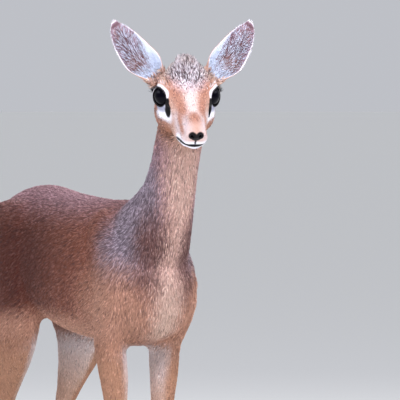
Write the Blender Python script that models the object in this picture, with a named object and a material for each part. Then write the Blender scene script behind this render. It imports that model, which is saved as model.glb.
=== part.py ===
"""A standing female dik-dik, life-size, with its head turned towards its right side.

The animal faces -Y, its left side is +X and the ground is z = 0.
The body is modelled whole from anatomical sizes, fused, smoothed and then parted by thin cuts.
All sizes are in millimetres until the last step, which turns each mesh to metres.
"""

import math
import random

import bmesh
import bpy
from mathutils import Matrix, Vector
from mathutils.bvhtree import BVHTree

# Units and gaps
METRES_PER_MM = 0.001
GAP = 0.3
SEED = 11

# Height of the body above the ground
WITHERS_HEIGHT = 383.0
CROUP_HEIGHT = 394.0
BREASTBONE_HEIGHT = 243.0
ELBOW_HEIGHT = 256.0
KNEE_HEIGHT = 152.0
FETLOCK_HEIGHT = 50.0
STIFLE_HEIGHT = 260.0
HOCK_HEIGHT = 160.0
HOOF_HEIGHT = 16.0

# Places along the body, measured from the middle of the trunk, forward is negative
FORELEG_Y = -95.0
HIND_FOOT_Y = 128.0
BREAST_Y = -162.0
RUMP_Y = 206.0

# Half widths of the body with its coat
CHEST_HALF_WIDTH = 45.0
RIB_HALF_WIDTH = 53.0
FORE_STANCE = 22.5
HIND_STANCE = 26.0

# Steps of the feet from the even stance, forward is negative
STEPS = {
    ("fore", 1): 4.0,
    ("fore", -1): -8.0,
    ("hind", 1): -34.0,
    ("hind", -1): 12.0,
}

# Place and turn of the head: its origin is midway between the eyes
HEAD_ORIGIN = Vector((-10.0, -221.0, 483.0))
HEAD_YAW = math.radians(-18.0)
HEAD_PITCH = math.radians(27.0)
HEAD_TURN = (
    Matrix.Translation(HEAD_ORIGIN)
    @ Matrix.Rotation(HEAD_YAW, 4, "Z")
    @ Matrix.Rotation(HEAD_PITCH, 4, "X")
)

# Eyes, in the head's own directions
EYE_RADIUS = 10.6
EYE_CENTRE = Vector((20.0, 0.0, 0.0))
EYE_AIM = Vector((0.80, -0.58, 0.12)).normalized()
LID_THICKNESS = 1.7
LID_RIM = 1.15
LID_OPENING_HALF_LENGTH = 9.3
LID_OPENING_HALF_HEIGHT = 8.0
LID_TILT = math.radians(14.0)

# Ears, in the head's own directions
EAR_ROOT = Vector((22.0, 24.0, 2.0))
EAR_AXIS = Vector((0.60, 0.44, 0.67)).normalized()
EAR_FACE = Vector((0.20, -0.85, 0.48)).normalized()
EAR_LENGTH = 72.0
EAR_THICKNESS = 1.7

# Fineness of the fused forms
BODY_VOXEL = 4.0
HEAD_VOXEL = 1.6
BODY_FACES = 4300
HEAD_FACES = 3200

# Trunk sections: place along y, height of the back, height of the underline, half width
TRUNK = (
    (BREAST_Y, 325.0, 276.0, 19.0),
    (BREAST_Y + 14.0, 350.0, 257.0, 33.0),
    (-122.0, 370.0, BREASTBONE_HEIGHT + 5.0, CHEST_HALF_WIDTH - 5.0),
    (-85.0, WITHERS_HEIGHT, BREASTBONE_HEIGHT, CHEST_HALF_WIDTH),
    (-40.0, WITHERS_HEIGHT, BREASTBONE_HEIGHT + 2.0, RIB_HALF_WIDTH - 3.0),
    (10.0, WITHERS_HEIGHT + 2.0, BREASTBONE_HEIGHT + 6.0, RIB_HALF_WIDTH),
    (60.0, CROUP_HEIGHT - 5.0, BREASTBONE_HEIGHT + 15.0, RIB_HALF_WIDTH - 4.0),
    (105.0, CROUP_HEIGHT, BREASTBONE_HEIGHT + 27.0, RIB_HALF_WIDTH - 6.0),
    (146.0, CROUP_HEIGHT - 5.0, BREASTBONE_HEIGHT + 40.0, RIB_HALF_WIDTH - 8.0),
    (178.0, CROUP_HEIGHT - 23.0, BREASTBONE_HEIGHT + 52.0, RIB_HALF_WIDTH - 14.0),
    (RUMP_Y - 6.0, CROUP_HEIGHT - 48.0, BREASTBONE_HEIGHT + 72.0, 25.0),
)

# Neck: x, y, z of its middle, half width across, half depth
NECK = (
    (0.0, -92.0, 322.0, 38.0, 54.0),
    (0.0, -129.0, 350.0, 33.5, 47.0),
    (0.0, -158.0, 383.0, 24.5, 34.0),
    (1.0, -172.0, 417.0, 21.5, 27.5),
    (3.0, -180.0, 448.0, 21.2, 25.5),
    (5.0, -187.0, 474.0, 16.5, 17.5),
)

# Foreleg of the even stance: how far out, y, z, half width across, half depth
FORELEG = (
    (24.0, -66.0, 366.0, 12.0, 18.0),
    (32.0, -88.0, 335.0, 15.0, 28.0),
    (34.0, -112.0, 300.0, 15.0, 30.0),
    (33.5, -103.0, 274.0, 13.5, 28.0),
    (29.5, -93.0, ELBOW_HEIGHT - 8.0, 14.0, 22.0),
    (27.0, FORELEG_Y - 1.0, 214.0, 13.5, 16.5),
    (25.0, FORELEG_Y - 1.0, 182.0, 10.5, 12.0),
    (24.0, FORELEG_Y - 1.0, KNEE_HEIGHT + 6.0, 8.8, 9.8),
    (23.5, FORELEG_Y - 1.0, KNEE_HEIGHT - 8.0, 8.2, 9.4),
    (FORE_STANCE, FORELEG_Y + 1.0, 124.0, 6.1, 7.4),
    (FORE_STANCE, FORELEG_Y + 2.0, 84.0, 5.7, 7.2),
    (FORE_STANCE, FORELEG_Y + 2.0, FETLOCK_HEIGHT + 12.0, 6.6, 8.4),
    (FORE_STANCE, FORELEG_Y + 1.0, FETLOCK_HEIGHT, 7.8, 9.6),
    (FORE_STANCE, FORELEG_Y - 5.0, 32.0, 7.4, 8.2),
    (FORE_STANCE, FORELEG_Y - 11.0, HOOF_HEIGHT - 4.0, 9.4, 9.6),
)

# Hind leg of the even stance, the same way
HIND_LEG = (
    (24.0, 130.0, 372.0, 20.0, 42.0),
    (31.0, 127.0, 340.0, 23.0, 58.0),
    (34.0, 123.0, 306.0, 24.0, 63.0),
    (36.0, 118.0, STIFLE_HEIGHT + 8.0, 21.0, 57.0),
    (35.0, 120.0, STIFLE_HEIGHT - 20.0, 17.0, 45.0),
    (31.5, 131.5, 211.0, 12.0, 28.0),
    (28.5, 145.0, 184.0, 8.8, 16.5),
    (HIND_STANCE, 154.0, HOCK_HEIGHT, 7.6, 12.5),
    (HIND_STANCE, 149.0, 140.0, 6.6, 9.6),
    (HIND_STANCE, 143.0, 108.0, 5.8, 7.6),
    (HIND_STANCE, 138.0, 78.0, 5.8, 7.4),
    (HIND_STANCE, HIND_FOOT_Y + 7.0, FETLOCK_HEIGHT + 10.0, 6.6, 8.4),
    (HIND_STANCE, HIND_FOOT_Y + 5.0, FETLOCK_HEIGHT - 2.0, 7.8, 9.6),
    (HIND_STANCE, HIND_FOOT_Y - 3.0, 31.0, 7.4, 8.2),
    (HIND_STANCE, HIND_FOOT_Y - 9.0, HOOF_HEIGHT - 4.0, 9.2, 9.4),
)

# Tail: y, z, half width, half depth
TAIL = (
    (RUMP_Y - 18.0, 350.0, 8.0, 8.0),
    (RUMP_Y - 5.0, 347.0, 9.5, 8.0),
    (RUMP_Y + 2.0, 338.0, 9.0, 7.5),
    (RUMP_Y + 4.5, 324.0, 7.5, 6.4),
    (RUMP_Y + 1.5, 308.0, 2.8, 3.4),
)

# Head sections: place along y, top, bottom, half width, squareness
HEAD = (
    (44.0, 6.0, -24.0, 13.0, 2.0),
    (36.0, 16.0, -33.0, 19.0, 2.1),
    (22.0, 24.0, -39.0, 24.0, 2.2),
    (8.0, 25.0, -40.0, 26.5, 2.3),
    (-6.0, 20.5, -38.0, 24.5, 2.3),
    (-18.0, 14.5, -34.0, 20.0, 2.3),
    (-30.0, 10.0, -30.0, 15.5, 2.3),
    (-44.0, 6.5, -27.0, 13.5, 2.3),
    (-56.0, 3.5, -24.5, 12.0, 2.3),
    (-64.0, 1.0, -21.0, 10.0, 2.3),
)

# Swellings on each side of the head: its middle and its three radii
HEAD_SIDE_SWELLINGS = {
    "cheek": ((14.0, 8.0, -19.0), (14.8, 24.0, 20.5)),
    "jaw": ((10.0, -16.0, -20.5), (7.0, 32.0, 10.0)),
    "brow": ((17.0, 5.0, 11.5), (10.5, 15.0, 7.5)),
    "ear root": ((19.5, 23.0, 2.0), (9.0, 10.0, 10.5)),
    "nostril wing": ((4.6, -65.5, -4.4), (5.8, 6.5, 6.0)),
    "upper lip": ((5.6, -57.5, -12.0), (7.4, 12.0, 6.2)),
}

# Swellings on the middle of the head
HEAD_MIDDLE_SWELLINGS = {
    "nose pad": ((0.0, -67.5, -4.8), (6.6, 5.6, 5.6)),
    "nose bridge": ((0.0, -48.0, 0.5), (9.0, 24.0, 6.5)),
    "lip middle": ((0.0, -63.0, -12.0), (5.5, 6.0, 4.6)),
    "chin": ((0.0, -56.0, -19.4), (8.4, 10.5, 4.8)),
}

# Line of the mouth: its pivot, height in front, rise to the corners, half angle, depth
MOUTH_PIVOT_Y = -42.0
MOUTH_FRONT_HEIGHT = -17.2
MOUTH_CORNER_DROP = 5.6
MOUTH_HALF_ANGLE = math.radians(98.0)
MOUTH_DEPTH = 2.6
MOUTH_HALF_HEIGHT = 0.75

# Crest: locks on the crown in rows from the forehead back
CREST_CORE_CENTRE = Vector((0.0, 15.0, 21.5))
CREST_CORE_RADII = (11.0, 17.5, 6.0)
CREST_ROWS = 5
CREST_LOCKS_A_ROW = 4
CREST_FRONT_Y = -2.0
CREST_ROW_STEP = 6.2
CREST_LOCK_SPACING = 5.2
CREST_LOCK_LENGTH = 15.5
CREST_LOCK_WIDTH = 7.0
CREST_LOCK_THICKNESS = 2.2
CREST_ROOT_SHARE = 0.55
CREST_BEND = 0.24

# Cuts between the head, the neck and the trunk: a place on each and the way it faces
HEAD_CUT = Vector((2.0, -183.0, 446.0))
HEAD_CUT_FACES = Vector((0.0, 0.35, -0.94)).normalized()
NECK_CUT = Vector((0.0, -140.0, 362.0))
NECK_CUT_FACES = Vector((0.0, 0.62, -0.78)).normalized()

# Flat cuts across the legs
LEG_TOP_CUT = 240.0
FORELEG_CUTS = (LEG_TOP_CUT, KNEE_HEIGHT - 9.0, FETLOCK_HEIGHT + 12.0)
HIND_LEG_CUTS = (LEG_TOP_CUT, HOCK_HEIGHT + 13.0, FETLOCK_HEIGHT + 12.0)

# Shoulder and haunch blocks: middle along y and z, half length, half height, inner face
SHOULDER_BLOCK = (-100.0, 303.0, 40.0, 66.0, 20.0)
HAUNCH_BLOCK = (130.0, 305.0, 62.0, 66.0, 22.0)

# Hooves: each claw's width, reach of the toe and heel at the sole, and at the top
CLAW_WIDTH = 9.0
CLAW_SPREAD = math.radians(4.0)
CLAW_TOE = 17.0
CLAW_HEEL = 10.0
CLAW_TOP_TOE = 7.0
CLAW_TOP_HEEL = 7.5
CLAW_SPACING = 5.4

# Colours of the parts
COAT_RUFOUS = (0.36, 0.20, 0.12, 1.0)
COAT_GREY = (0.30, 0.24, 0.22, 1.0)
COAT_PALE = (0.62, 0.52, 0.44, 1.0)
EAR_PINK = (0.55, 0.43, 0.42, 1.0)
EYE_BLACK = (0.010, 0.007, 0.008, 1.0)
HOOF_BLACK = (0.025, 0.020, 0.018, 1.0)


def clear_scene():
    for thing in list(bpy.data.objects):
        bpy.data.objects.remove(thing, do_unlink=True)


def material(name, colour, roughness):
    made = bpy.data.materials.new(name)
    made.use_nodes = True
    shader = made.node_tree.nodes["Principled BSDF"]
    shader.inputs["Base Color"].default_value = colour
    shader.inputs["Roughness"].default_value = roughness
    shader.inputs["Metallic"].default_value = 0.0
    return made


def add_object(name, mesh):
    thing = bpy.data.objects.new(name, mesh)
    bpy.context.scene.collection.objects.link(thing)
    return thing


def mesh_from(bm, name):
    bmesh.ops.recalc_face_normals(bm, faces=bm.faces)
    mesh = bpy.data.meshes.new(name)
    bm.to_mesh(mesh)
    bm.free()
    return mesh


def smooth_rows(rows, steps):
    """Rows of numbers with steps - 1 more rows between each pair, on a Catmull-Rom curve."""
    made = []
    last = len(rows) - 1
    for index in range(last):
        before = rows[max(index - 1, 0)]
        start = rows[index]
        end = rows[index + 1]
        after = rows[min(index + 2, last)]
        for step in range(steps):
            t = step / steps
            made.append(
                tuple(
                    0.5
                    * (
                        2 * b
                        + (c - a) * t
                        + (2 * a - 5 * b + 4 * c - d) * t ** 2
                        + (3 * b - a - 3 * c + d) * t ** 3
                    )
                    for a, b, c, d in zip(before, start, end, after)
                )
            )
    made.append(tuple(rows[-1]))
    return made


def power(value, exponent):
    return math.copysign(abs(value) ** exponent, value)


def bridge(bm, first, second):
    count = len(first)
    for index in range(count):
        following = (index + 1) % count
        bm.faces.new((first[index], first[following], second[following], second[index]))


def fan(bm, ring, tip):
    count = len(ring)
    for index in range(count):
        bm.faces.new((ring[index], ring[(index + 1) % count], tip))


def add_tube(bm, rings, start_tip, end_tip):
    """Joins rings of points into one closed tube with a point at each end."""
    made = [[bm.verts.new(point) for point in ring] for ring in rings]
    for first, second in zip(made, made[1:]):
        bridge(bm, first, second)
    fan(bm, made[0], bm.verts.new(start_tip))
    fan(bm, made[-1], bm.verts.new(end_tip))


def oval(centre, across, along, half_across, half_along, sides, squareness=2.0):
    points = []
    for index in range(sides):
        angle = math.tau * index / sides
        u = half_across * power(math.cos(angle), 2.0 / squareness)
        v = half_along * power(math.sin(angle), 2.0 / squareness)
        points.append(centre + across * u + along * v)
    return points


def add_limb(bm, rows, sides=16, steps=3):
    """A closed limb from rows of x, y, z, half width across and half depth."""
    fine = smooth_rows(rows, steps)
    centres = [Vector(row[:3]) for row in fine]
    rings = []
    for index, row in enumerate(fine):
        low = centres[max(index - 1, 0)]
        high = centres[min(index + 1, len(fine) - 1)]
        tangent = (high - low).normalized()
        across = (Vector((1.0, 0.0, 0.0)) - tangent * tangent.x).normalized()
        along = tangent.cross(across)
        rings.append(oval(centres[index], across, along, row[3], row[4], sides, 2.15))
    start_tip = centres[0] + (centres[0] - centres[1]).normalized() * fine[0][3] * 0.45
    end_tip = centres[-1] + (centres[-1] - centres[-2]).normalized() * fine[-1][3] * 0.45
    add_tube(bm, rings, start_tip, end_tip)


def add_trunk(bm, sides=28, steps=3):
    """The trunk, a little narrower along the back than at the ribs."""
    rings = []
    for y, top, bottom, half_width in smooth_rows(TRUNK, steps):
        half_height = (top - bottom) / 2.0
        centre = Vector((0.0, y, (top + bottom) / 2.0))
        ring = oval(centre, Vector((1, 0, 0)), Vector((0, 0, 1)), half_width, half_height, sides, 2.15)
        for point in ring:
            height = (point.z - centre.z) / half_height
            point.x *= 1.0 - 0.13 * height
        rings.append(ring)
    front = Vector((0.0, TRUNK[0][0] - 9.0, (TRUNK[0][1] + TRUNK[0][2]) / 2.0))
    back = Vector((0.0, TRUNK[-1][0] + 7.0, (TRUNK[-1][1] + TRUNK[-1][2]) / 2.0))
    add_tube(bm, rings, front, back)


def leg_rows(kind, side):
    """Rows of one leg, with its step growing from the body down to the foot."""
    rows = FORELEG if kind == "fore" else HIND_LEG
    step = STEPS[(kind, side)]
    top = rows[2][2]
    made = []
    for out, y, z, half_across, half_deep in rows:
        share = min(max((top - z) / (top - HOOF_HEIGHT), 0.0), 1.0)
        made.append((side * out, y + step * share, z, half_across, half_deep))
    return made


def add_ball(bm, centre, radii, turn=None, detail=3):
    """A closed ball stretched to three radii."""
    size = Matrix.Diagonal((*radii, 1.0))
    place = Matrix.Translation(centre) @ (turn or Matrix.Identity(4)) @ size
    bmesh.ops.create_icosphere(bm, subdivisions=detail, radius=1.0, matrix=place)


def facing(direction, up=Vector((0.0, 0.0, 1.0))):
    """A turn whose z axis is the direction and whose y axis is as near to up as it can be."""
    z_axis = direction.normalized()
    x_axis = up.cross(z_axis).normalized()
    y_axis = z_axis.cross(x_axis)
    return Matrix((x_axis, y_axis, z_axis)).transposed().to_4x4()


def mirrored(vector, side):
    return Vector((vector.x * side, vector.y, vector.z))


def add_head_forms(bm):
    """Skull, cheeks, brows, lids and nose, in the head's own directions."""
    start = len(bm.verts)
    rings = []
    for y, top, bottom, half_width, squareness in smooth_rows(HEAD, 3):
        half_height = (top - bottom) / 2.0
        centre = Vector((0.0, y, (top + bottom) / 2.0))
        rings.append(
            oval(centre, Vector((1, 0, 0)), Vector((0, 0, 1)), half_width, half_height, 24, squareness)
        )
    back = Vector((0.0, HEAD[0][0] + 4.0, -9.0))
    front = Vector((0.0, HEAD[-1][0] - 3.5, -9.5))
    add_tube(bm, rings, back, front)
    lid_radius = EYE_RADIUS + LID_THICKNESS
    for side in (-1, 1):
        add_ball(bm, mirrored(EYE_CENTRE, side), (lid_radius, lid_radius, lid_radius))
        for centre, radii in HEAD_SIDE_SWELLINGS.values():
            add_ball(bm, mirrored(Vector(centre), side), radii)
    for centre, radii in HEAD_MIDDLE_SWELLINGS.values():
        add_ball(bm, Vector(centre), radii)
    bm.verts.ensure_lookup_table()
    bmesh.ops.transform(bm, matrix=HEAD_TURN, verts=bm.verts[start:])


def evaluated_mesh(thing):
    graph = bpy.context.evaluated_depsgraph_get()
    mesh = bpy.data.meshes.new_from_object(thing.evaluated_get(graph))
    return mesh


def fused(bm, name, voxel, rounds, faces):
    """One closed skin over overlapping forms, smoothed and brought to a count of triangles."""
    thing = add_object(name, mesh_from(bm, name))
    remesh = thing.modifiers.new("fuse", "REMESH")
    remesh.mode = "VOXEL"
    remesh.voxel_size = voxel
    smooth = thing.modifiers.new("soften", "SMOOTH")
    smooth.iterations = rounds
    smooth.factor = 0.5
    mesh = evaluated_mesh(thing)
    bpy.data.objects.remove(thing, do_unlink=True)
    thing = add_object(name, mesh)
    triangles = sum(len(face.vertices) - 2 for face in mesh.polygons)
    decimate = thing.modifiers.new("lighten", "DECIMATE")
    decimate.ratio = min(faces / triangles, 1.0)
    mesh = evaluated_mesh(thing)
    bpy.data.objects.remove(thing, do_unlink=True)
    return mesh


def islands(bm):
    """Lists of faces, one list for each closed surface."""
    left = set(bm.faces)
    found = []
    while left:
        seed = left.pop()
        group = [seed]
        stack = [seed]
        while stack:
            face = stack.pop()
            for edge in face.edges:
                for neighbour in edge.link_faces:
                    if neighbour in left:
                        left.remove(neighbour)
                        group.append(neighbour)
                        stack.append(neighbour)
        found.append(group)
    return found


def keep_one(mesh, near=None):
    """Keeps the largest closed surface, or the one whose middle is nearest to a place."""
    bm = bmesh.new()
    bm.from_mesh(mesh)
    groups = islands(bm)

    def rank(group):
        if near is None:
            return -sum(face.calc_area() for face in group)
        total = Vector()
        for face in group:
            total += face.calc_center_median()
        return (total / len(group) - near).length

    groups.sort(key=rank)
    for group in groups[1:]:
        bmesh.ops.delete(bm, geom=group, context="FACES")
    bm.to_mesh(mesh)
    bm.free()
    return mesh


def cut_flat(mesh, place, normal, name):
    """A copy of a mesh with all beyond a plane removed and the cut closed."""
    bm = bmesh.new()
    bm.from_mesh(mesh)
    geometry = list(bm.verts) + list(bm.edges) + list(bm.faces)
    bmesh.ops.bisect_plane(
        bm, geom=geometry, dist=0.0001, plane_co=place, plane_no=normal, clear_outer=True
    )
    rim = [edge for edge in bm.edges if edge.is_boundary]
    bmesh.ops.triangle_fill(bm, use_beauty=True, edges=rim, normal=normal)
    made = mesh_from(bm, name)
    return made


def boolean(mesh, cutter, operation, name):
    """A mesh joined with, cut by or kept within another."""
    thing = add_object(name, mesh)
    other = add_object(name + "_cutter", cutter)
    step = thing.modifiers.new("step", "BOOLEAN")
    step.operation = operation
    step.object = other
    step.solver = "EXACT"
    made = evaluated_mesh(thing)
    bpy.data.objects.remove(thing, do_unlink=True)
    bpy.data.objects.remove(other, do_unlink=True)
    return made


def grown(mesh, distance, name):
    """A copy of a closed mesh moved outwards along its normals."""
    bm = bmesh.new()
    bm.from_mesh(mesh)
    bm.normal_update()
    moves = [vert.normal * distance for vert in bm.verts]
    for vert, move in zip(bm.verts, moves):
        vert.co += move
    return mesh_from(bm, name)


def seated(mesh, carrier, name):
    """What lies outside a carrier's surface, with a small gap to it."""
    return keep_one(boolean(mesh, grown(carrier, GAP, name + "_seat"), "DIFFERENCE", name))


# Body


def body_mesh():
    bm = bmesh.new()
    add_trunk(bm)
    add_limb(bm, NECK, 20)
    for kind in ("fore", "hind"):
        for side in (-1, 1):
            add_limb(bm, leg_rows(kind, side))
    add_head_forms(bm)
    return fused(bm, "body", BODY_VOXEL, 5, BODY_FACES)


def head_mesh():
    bm = bmesh.new()
    add_limb(bm, NECK[2:], 20)
    add_head_forms(bm)
    return fused(bm, "head", HEAD_VOXEL, 8, HEAD_FACES)


def prism(outline, inner, outer, name):
    """A block with an outline in y and z, from an inner to an outer place along x."""
    bm = bmesh.new()
    loops = []
    for x in (inner, outer):
        loops.append([bm.verts.new((x, y, z)) for y, z in outline])
    bridge(bm, loops[0], loops[1])
    bm.faces.new(loops[0])
    bm.faces.new(loops[1])
    return mesh_from(bm, name)


def block_outline(block, extra, points=28):
    y, z, half_length, half_height = block[:4]
    made = []
    for index in range(points):
        angle = math.tau * index / points
        made.append(
            (y + (half_length + extra) * math.cos(angle), z + (half_height + extra) * math.sin(angle))
        )
    return made


def groin_outline(extra):
    """The part of the haunch below the belly, which reaches in to the middle."""
    return (
        (62.0 - extra, 225.0),
        (206.0 + extra, 225.0),
        (206.0 + extra, 289.0 + extra),
        (62.0 - extra, 262.0 + extra),
    )


def limb_block(block, side, extra, name, groin=False):
    reach = 90.0
    ends = sorted((side * (block[4] - extra), side * reach))
    made = prism(block_outline(block, extra), ends[0], ends[1], name)
    if groin:
        ends = sorted((side * (1.0 - extra), side * reach))
        lower = prism(groin_outline(extra), ends[0], ends[1], name + "_groin")
        made = boolean(made, lower, "UNION", name)
    return made


def side_name(side):
    return "left" if side > 0 else "right"


def below(mesh, height, name):
    return cut_flat(mesh, Vector((0, 0, height - GAP / 2)), Vector((0, 0, 1)), name)


def above(mesh, height, name):
    return cut_flat(mesh, Vector((0, 0, height + GAP / 2)), Vector((0, 0, -1)), name)


def leg_pieces(body, kind, side):
    """Lengths of one leg from its first cut down to the top of the hooves."""
    cuts = FORELEG_CUTS if kind == "fore" else HIND_LEG_CUTS
    names = ("forearm", "fore_cannon", "fore_foot") if kind == "fore" else ("gaskin", "hind_cannon", "hind_foot")
    rows = leg_rows(kind, side)
    middle = Vector(rows[9][:3])
    leg = keep_one(below(body, cuts[0], "leg"), middle)
    leg = cut_flat(leg, Vector((0, 0, HOOF_HEIGHT + GAP)), Vector((0, 0, -1)), "leg")
    pieces = {}
    for index, name in enumerate(names):
        full = f"{name}_{side_name(side)}"
        piece = leg if index == 0 else below(leg, cuts[index], full)
        if index + 1 < len(cuts):
            piece = above(piece, cuts[index + 1], full)
        pieces[full] = piece
    return pieces


def claw_mesh(middle, side, name):
    """One claw of a cloven hoof, pointed in front and flat below."""
    bm = bmesh.new()
    levels = (
        (0.0, CLAW_TOE, CLAW_HEEL - 1.0, 0.94),
        (2.0, CLAW_TOE - 0.6, CLAW_HEEL, 1.0),
        (HOOF_HEIGHT * 0.6, CLAW_TOP_TOE + 4.2, CLAW_HEEL - 1.0, 0.98),
        (HOOF_HEIGHT, CLAW_TOP_TOE, CLAW_TOP_HEEL, 0.88),
    )
    sides = 14
    loops = []
    for height, toe, heel, fullness in levels:
        loop = []
        for index in range(sides):
            angle = math.tau * index / sides
            forward = math.cos(angle)
            reach = toe if forward > 0 else heel
            taper = 1.0 - 0.45 * max(forward, 0.0) ** 2
            x = math.sin(angle) * CLAW_WIDTH / 2.0 * fullness * taper
            y = -forward * reach
            loop.append(bm.verts.new((x, y, height)))
        loops.append(loop)
    for first, second in zip(loops, loops[1:]):
        bridge(bm, first, second)
    bm.faces.new(loops[0])
    bm.faces.new(loops[-1])
    turn = Matrix.Rotation(side * CLAW_SPREAD, 4, "Z")
    place = Matrix.Translation(middle + Vector((side * CLAW_SPACING, 0, 0)))
    bmesh.ops.transform(bm, matrix=place @ turn, verts=bm.verts)
    return mesh_from(bm, name)


def false_hoof_mesh(middle, side, name):
    """A small blunt cone behind the fetlock, pointing down and back."""
    bm = bmesh.new()
    direction = Vector((side * 0.25, 0.55, -0.8)).normalized()
    turn = facing(direction)
    place = Matrix.Translation(middle + direction * 2.0)
    bmesh.ops.create_cone(
        bm, cap_ends=True, segments=10, radius1=3.2, radius2=1.4, depth=9.0, matrix=place @ turn
    )
    return mesh_from(bm, name)


# Head


def eye_mesh(side, name):
    bm = bmesh.new()
    centre = mirrored(EYE_CENTRE, side)
    turn = facing(mirrored(EYE_AIM, side))
    bmesh.ops.create_uvsphere(
        bm, u_segments=18, v_segments=10, radius=EYE_RADIUS, matrix=Matrix.Translation(centre) @ turn
    )
    bmesh.ops.transform(bm, matrix=HEAD_TURN, verts=bm.verts)
    return mesh_from(bm, name)


def lid_rim(side, name):
    """The edge of both lids, a thin ring that lies on the eye."""
    bm = bmesh.new()
    turn = facing(mirrored(EYE_AIM, side)) @ Matrix.Rotation(side * LID_TILT, 4, "Z")
    reach = EYE_RADIUS + LID_RIM * 0.8
    around = 22
    rings = []
    for index in range(around):
        angle = math.tau * index / around
        u = math.cos(angle) * (LID_OPENING_HALF_LENGTH + LID_RIM * 0.5)
        v = math.sin(angle) * (LID_OPENING_HALF_HEIGHT + LID_RIM * 0.5)
        middle = Vector((u, v, math.sqrt(reach * reach - u * u - v * v)))
        outward = middle.normalized()
        aside = Vector((u, v, 0.0)).normalized()
        aside = (aside - outward * aside.dot(outward)).normalized()
        ring = oval(middle, aside, outward, LID_RIM, LID_RIM, 6)
        rings.append([bm.verts.new(point) for point in ring])
    for index in range(around):
        bridge(bm, rings[index], rings[(index + 1) % around])
    place = Matrix.Translation(mirrored(EYE_CENTRE, side)) @ turn
    bmesh.ops.transform(bm, matrix=HEAD_TURN @ place, verts=bm.verts)
    return mesh_from(bm, name)


def socket_cutter(side, name):
    """The hollow that holds the eye and the opening between the lids."""
    bm = bmesh.new()
    centre = mirrored(EYE_CENTRE, side)
    turn = facing(mirrored(EYE_AIM, side)) @ Matrix.Rotation(side * LID_TILT, 4, "Z")
    bmesh.ops.create_uvsphere(
        bm, u_segments=20, v_segments=12, radius=EYE_RADIUS + GAP, matrix=Matrix.Translation(centre) @ turn
    )
    ball = mesh_from(bm, name + "_ball")
    bm = bmesh.new()
    rings = []
    for depth, scale in ((2.0, 0.75), (EYE_RADIUS + 6.0, 1.28)):
        ring = oval(
            Vector((0, 0, depth)),
            Vector((1, 0, 0)),
            Vector((0, 1, 0)),
            LID_OPENING_HALF_LENGTH * scale,
            LID_OPENING_HALF_HEIGHT * scale,
            20,
        )
        rings.append([bm.verts.new(point) for point in ring])
    bridge(bm, rings[0], rings[1])
    bm.faces.new(rings[0])
    bm.faces.new(rings[1])
    bmesh.ops.transform(bm, matrix=Matrix.Translation(centre) @ turn, verts=bm.verts)
    opening = mesh_from(bm, name + "_opening")
    made = boolean(ball, opening, "UNION", name)
    made.transform(HEAD_TURN)
    return made


def surface_point(tree, pivot, direction):
    """Where the head's surface is, seen along a direction from a point inside it."""
    far = HEAD_TURN @ (pivot + direction * 80.0)
    inward = (HEAD_TURN.to_3x3() @ -direction).normalized()
    found = tree.ray_cast(far, inward)[0]
    return HEAD_TURN.inverted() @ found


def mouth_cutter(tree, name):
    """A thin wedge along the line of the mouth, from one corner round to the other."""
    bm = bmesh.new()
    steps = 16
    rings = []
    for index in range(steps + 1):
        share = 2.0 * index / steps - 1.0
        angle = share * MOUTH_HALF_ANGLE
        height = MOUTH_FRONT_HEIGHT - MOUTH_CORNER_DROP * abs(share) ** 1.6
        outward = Vector((math.sin(angle), -math.cos(angle), 0.0))
        skin = surface_point(tree, Vector((0.0, MOUTH_PIVOT_Y, height)), outward)
        depth = MOUTH_DEPTH * (1.0 - 0.6 * abs(share) ** 4)
        lift = Vector((0.0, 0.0, MOUTH_HALF_HEIGHT))
        rings.append(
            [
                bm.verts.new(skin + outward * 3.0 + lift * 2.0),
                bm.verts.new(skin + outward * 3.0 - lift * 2.0),
                bm.verts.new(skin - outward * depth - lift * 0.3),
                bm.verts.new(skin - outward * depth + lift * 0.3),
            ]
        )
    for first, second in zip(rings, rings[1:]):
        bridge(bm, first, second)
    bm.faces.new(rings[0])
    bm.faces.new(rings[-1])
    bmesh.ops.transform(bm, matrix=HEAD_TURN, verts=bm.verts)
    return mesh_from(bm, name)


def nostril_cutter(side, name):
    """A round opening with a slit that curls out and up from it."""
    bm = bmesh.new()
    add_ball(bm, Vector((side * 3.7, -71.5, -5.2)), (1.7, 4.4, 1.6), detail=2)
    hole = mesh_from(bm, name)
    bm = bmesh.new()
    turn = Matrix.Rotation(side * math.radians(-28.0), 4, "Y")
    add_ball(bm, Vector((side * 5.6, -70.5, -4.2)), (2.4, 4.2, 0.9), turn, detail=2)
    made = boolean(hole, mesh_from(bm, name), "UNION", name)
    made.transform(HEAD_TURN)
    return made


def gland_cutter(side, name):
    """The slit of the scent gland in front of the eye."""
    bm = bmesh.new()
    turn = Matrix.Rotation(side * math.radians(20.0), 4, "Y") @ Matrix.Rotation(math.radians(-20.0), 4, "X")
    add_ball(bm, Vector((side * 20.2, -18.0, -6.8)), (3.0, 2.8, 6.4), turn, detail=2)
    bmesh.ops.transform(bm, matrix=HEAD_TURN, verts=bm.verts)
    return mesh_from(bm, name)


def carved_head(head):
    """The head with its sockets, mouth, nostrils and glands cut in."""
    made = cut_flat(head, HEAD_CUT - HEAD_CUT_FACES * GAP / 2, HEAD_CUT_FACES, "head")
    made = boolean(made, mouth_cutter(surface_tree(made), "mouth"), "DIFFERENCE", "head")
    for side in (-1, 1):
        made = boolean(made, nostril_cutter(side, "nostril"), "DIFFERENCE", "head")
        made = boolean(made, gland_cutter(side, "gland"), "DIFFERENCE", "head")
        made = boolean(made, lid_rim(side, "lid"), "UNION", "head")
        made = boolean(made, socket_cutter(side, "socket"), "DIFFERENCE", "head")
    return keep_one(made)


def surface_tree(mesh):
    bm = bmesh.new()
    bm.from_mesh(mesh)
    tree = BVHTree.FromBMesh(bm)
    bm.free()
    return tree


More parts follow.
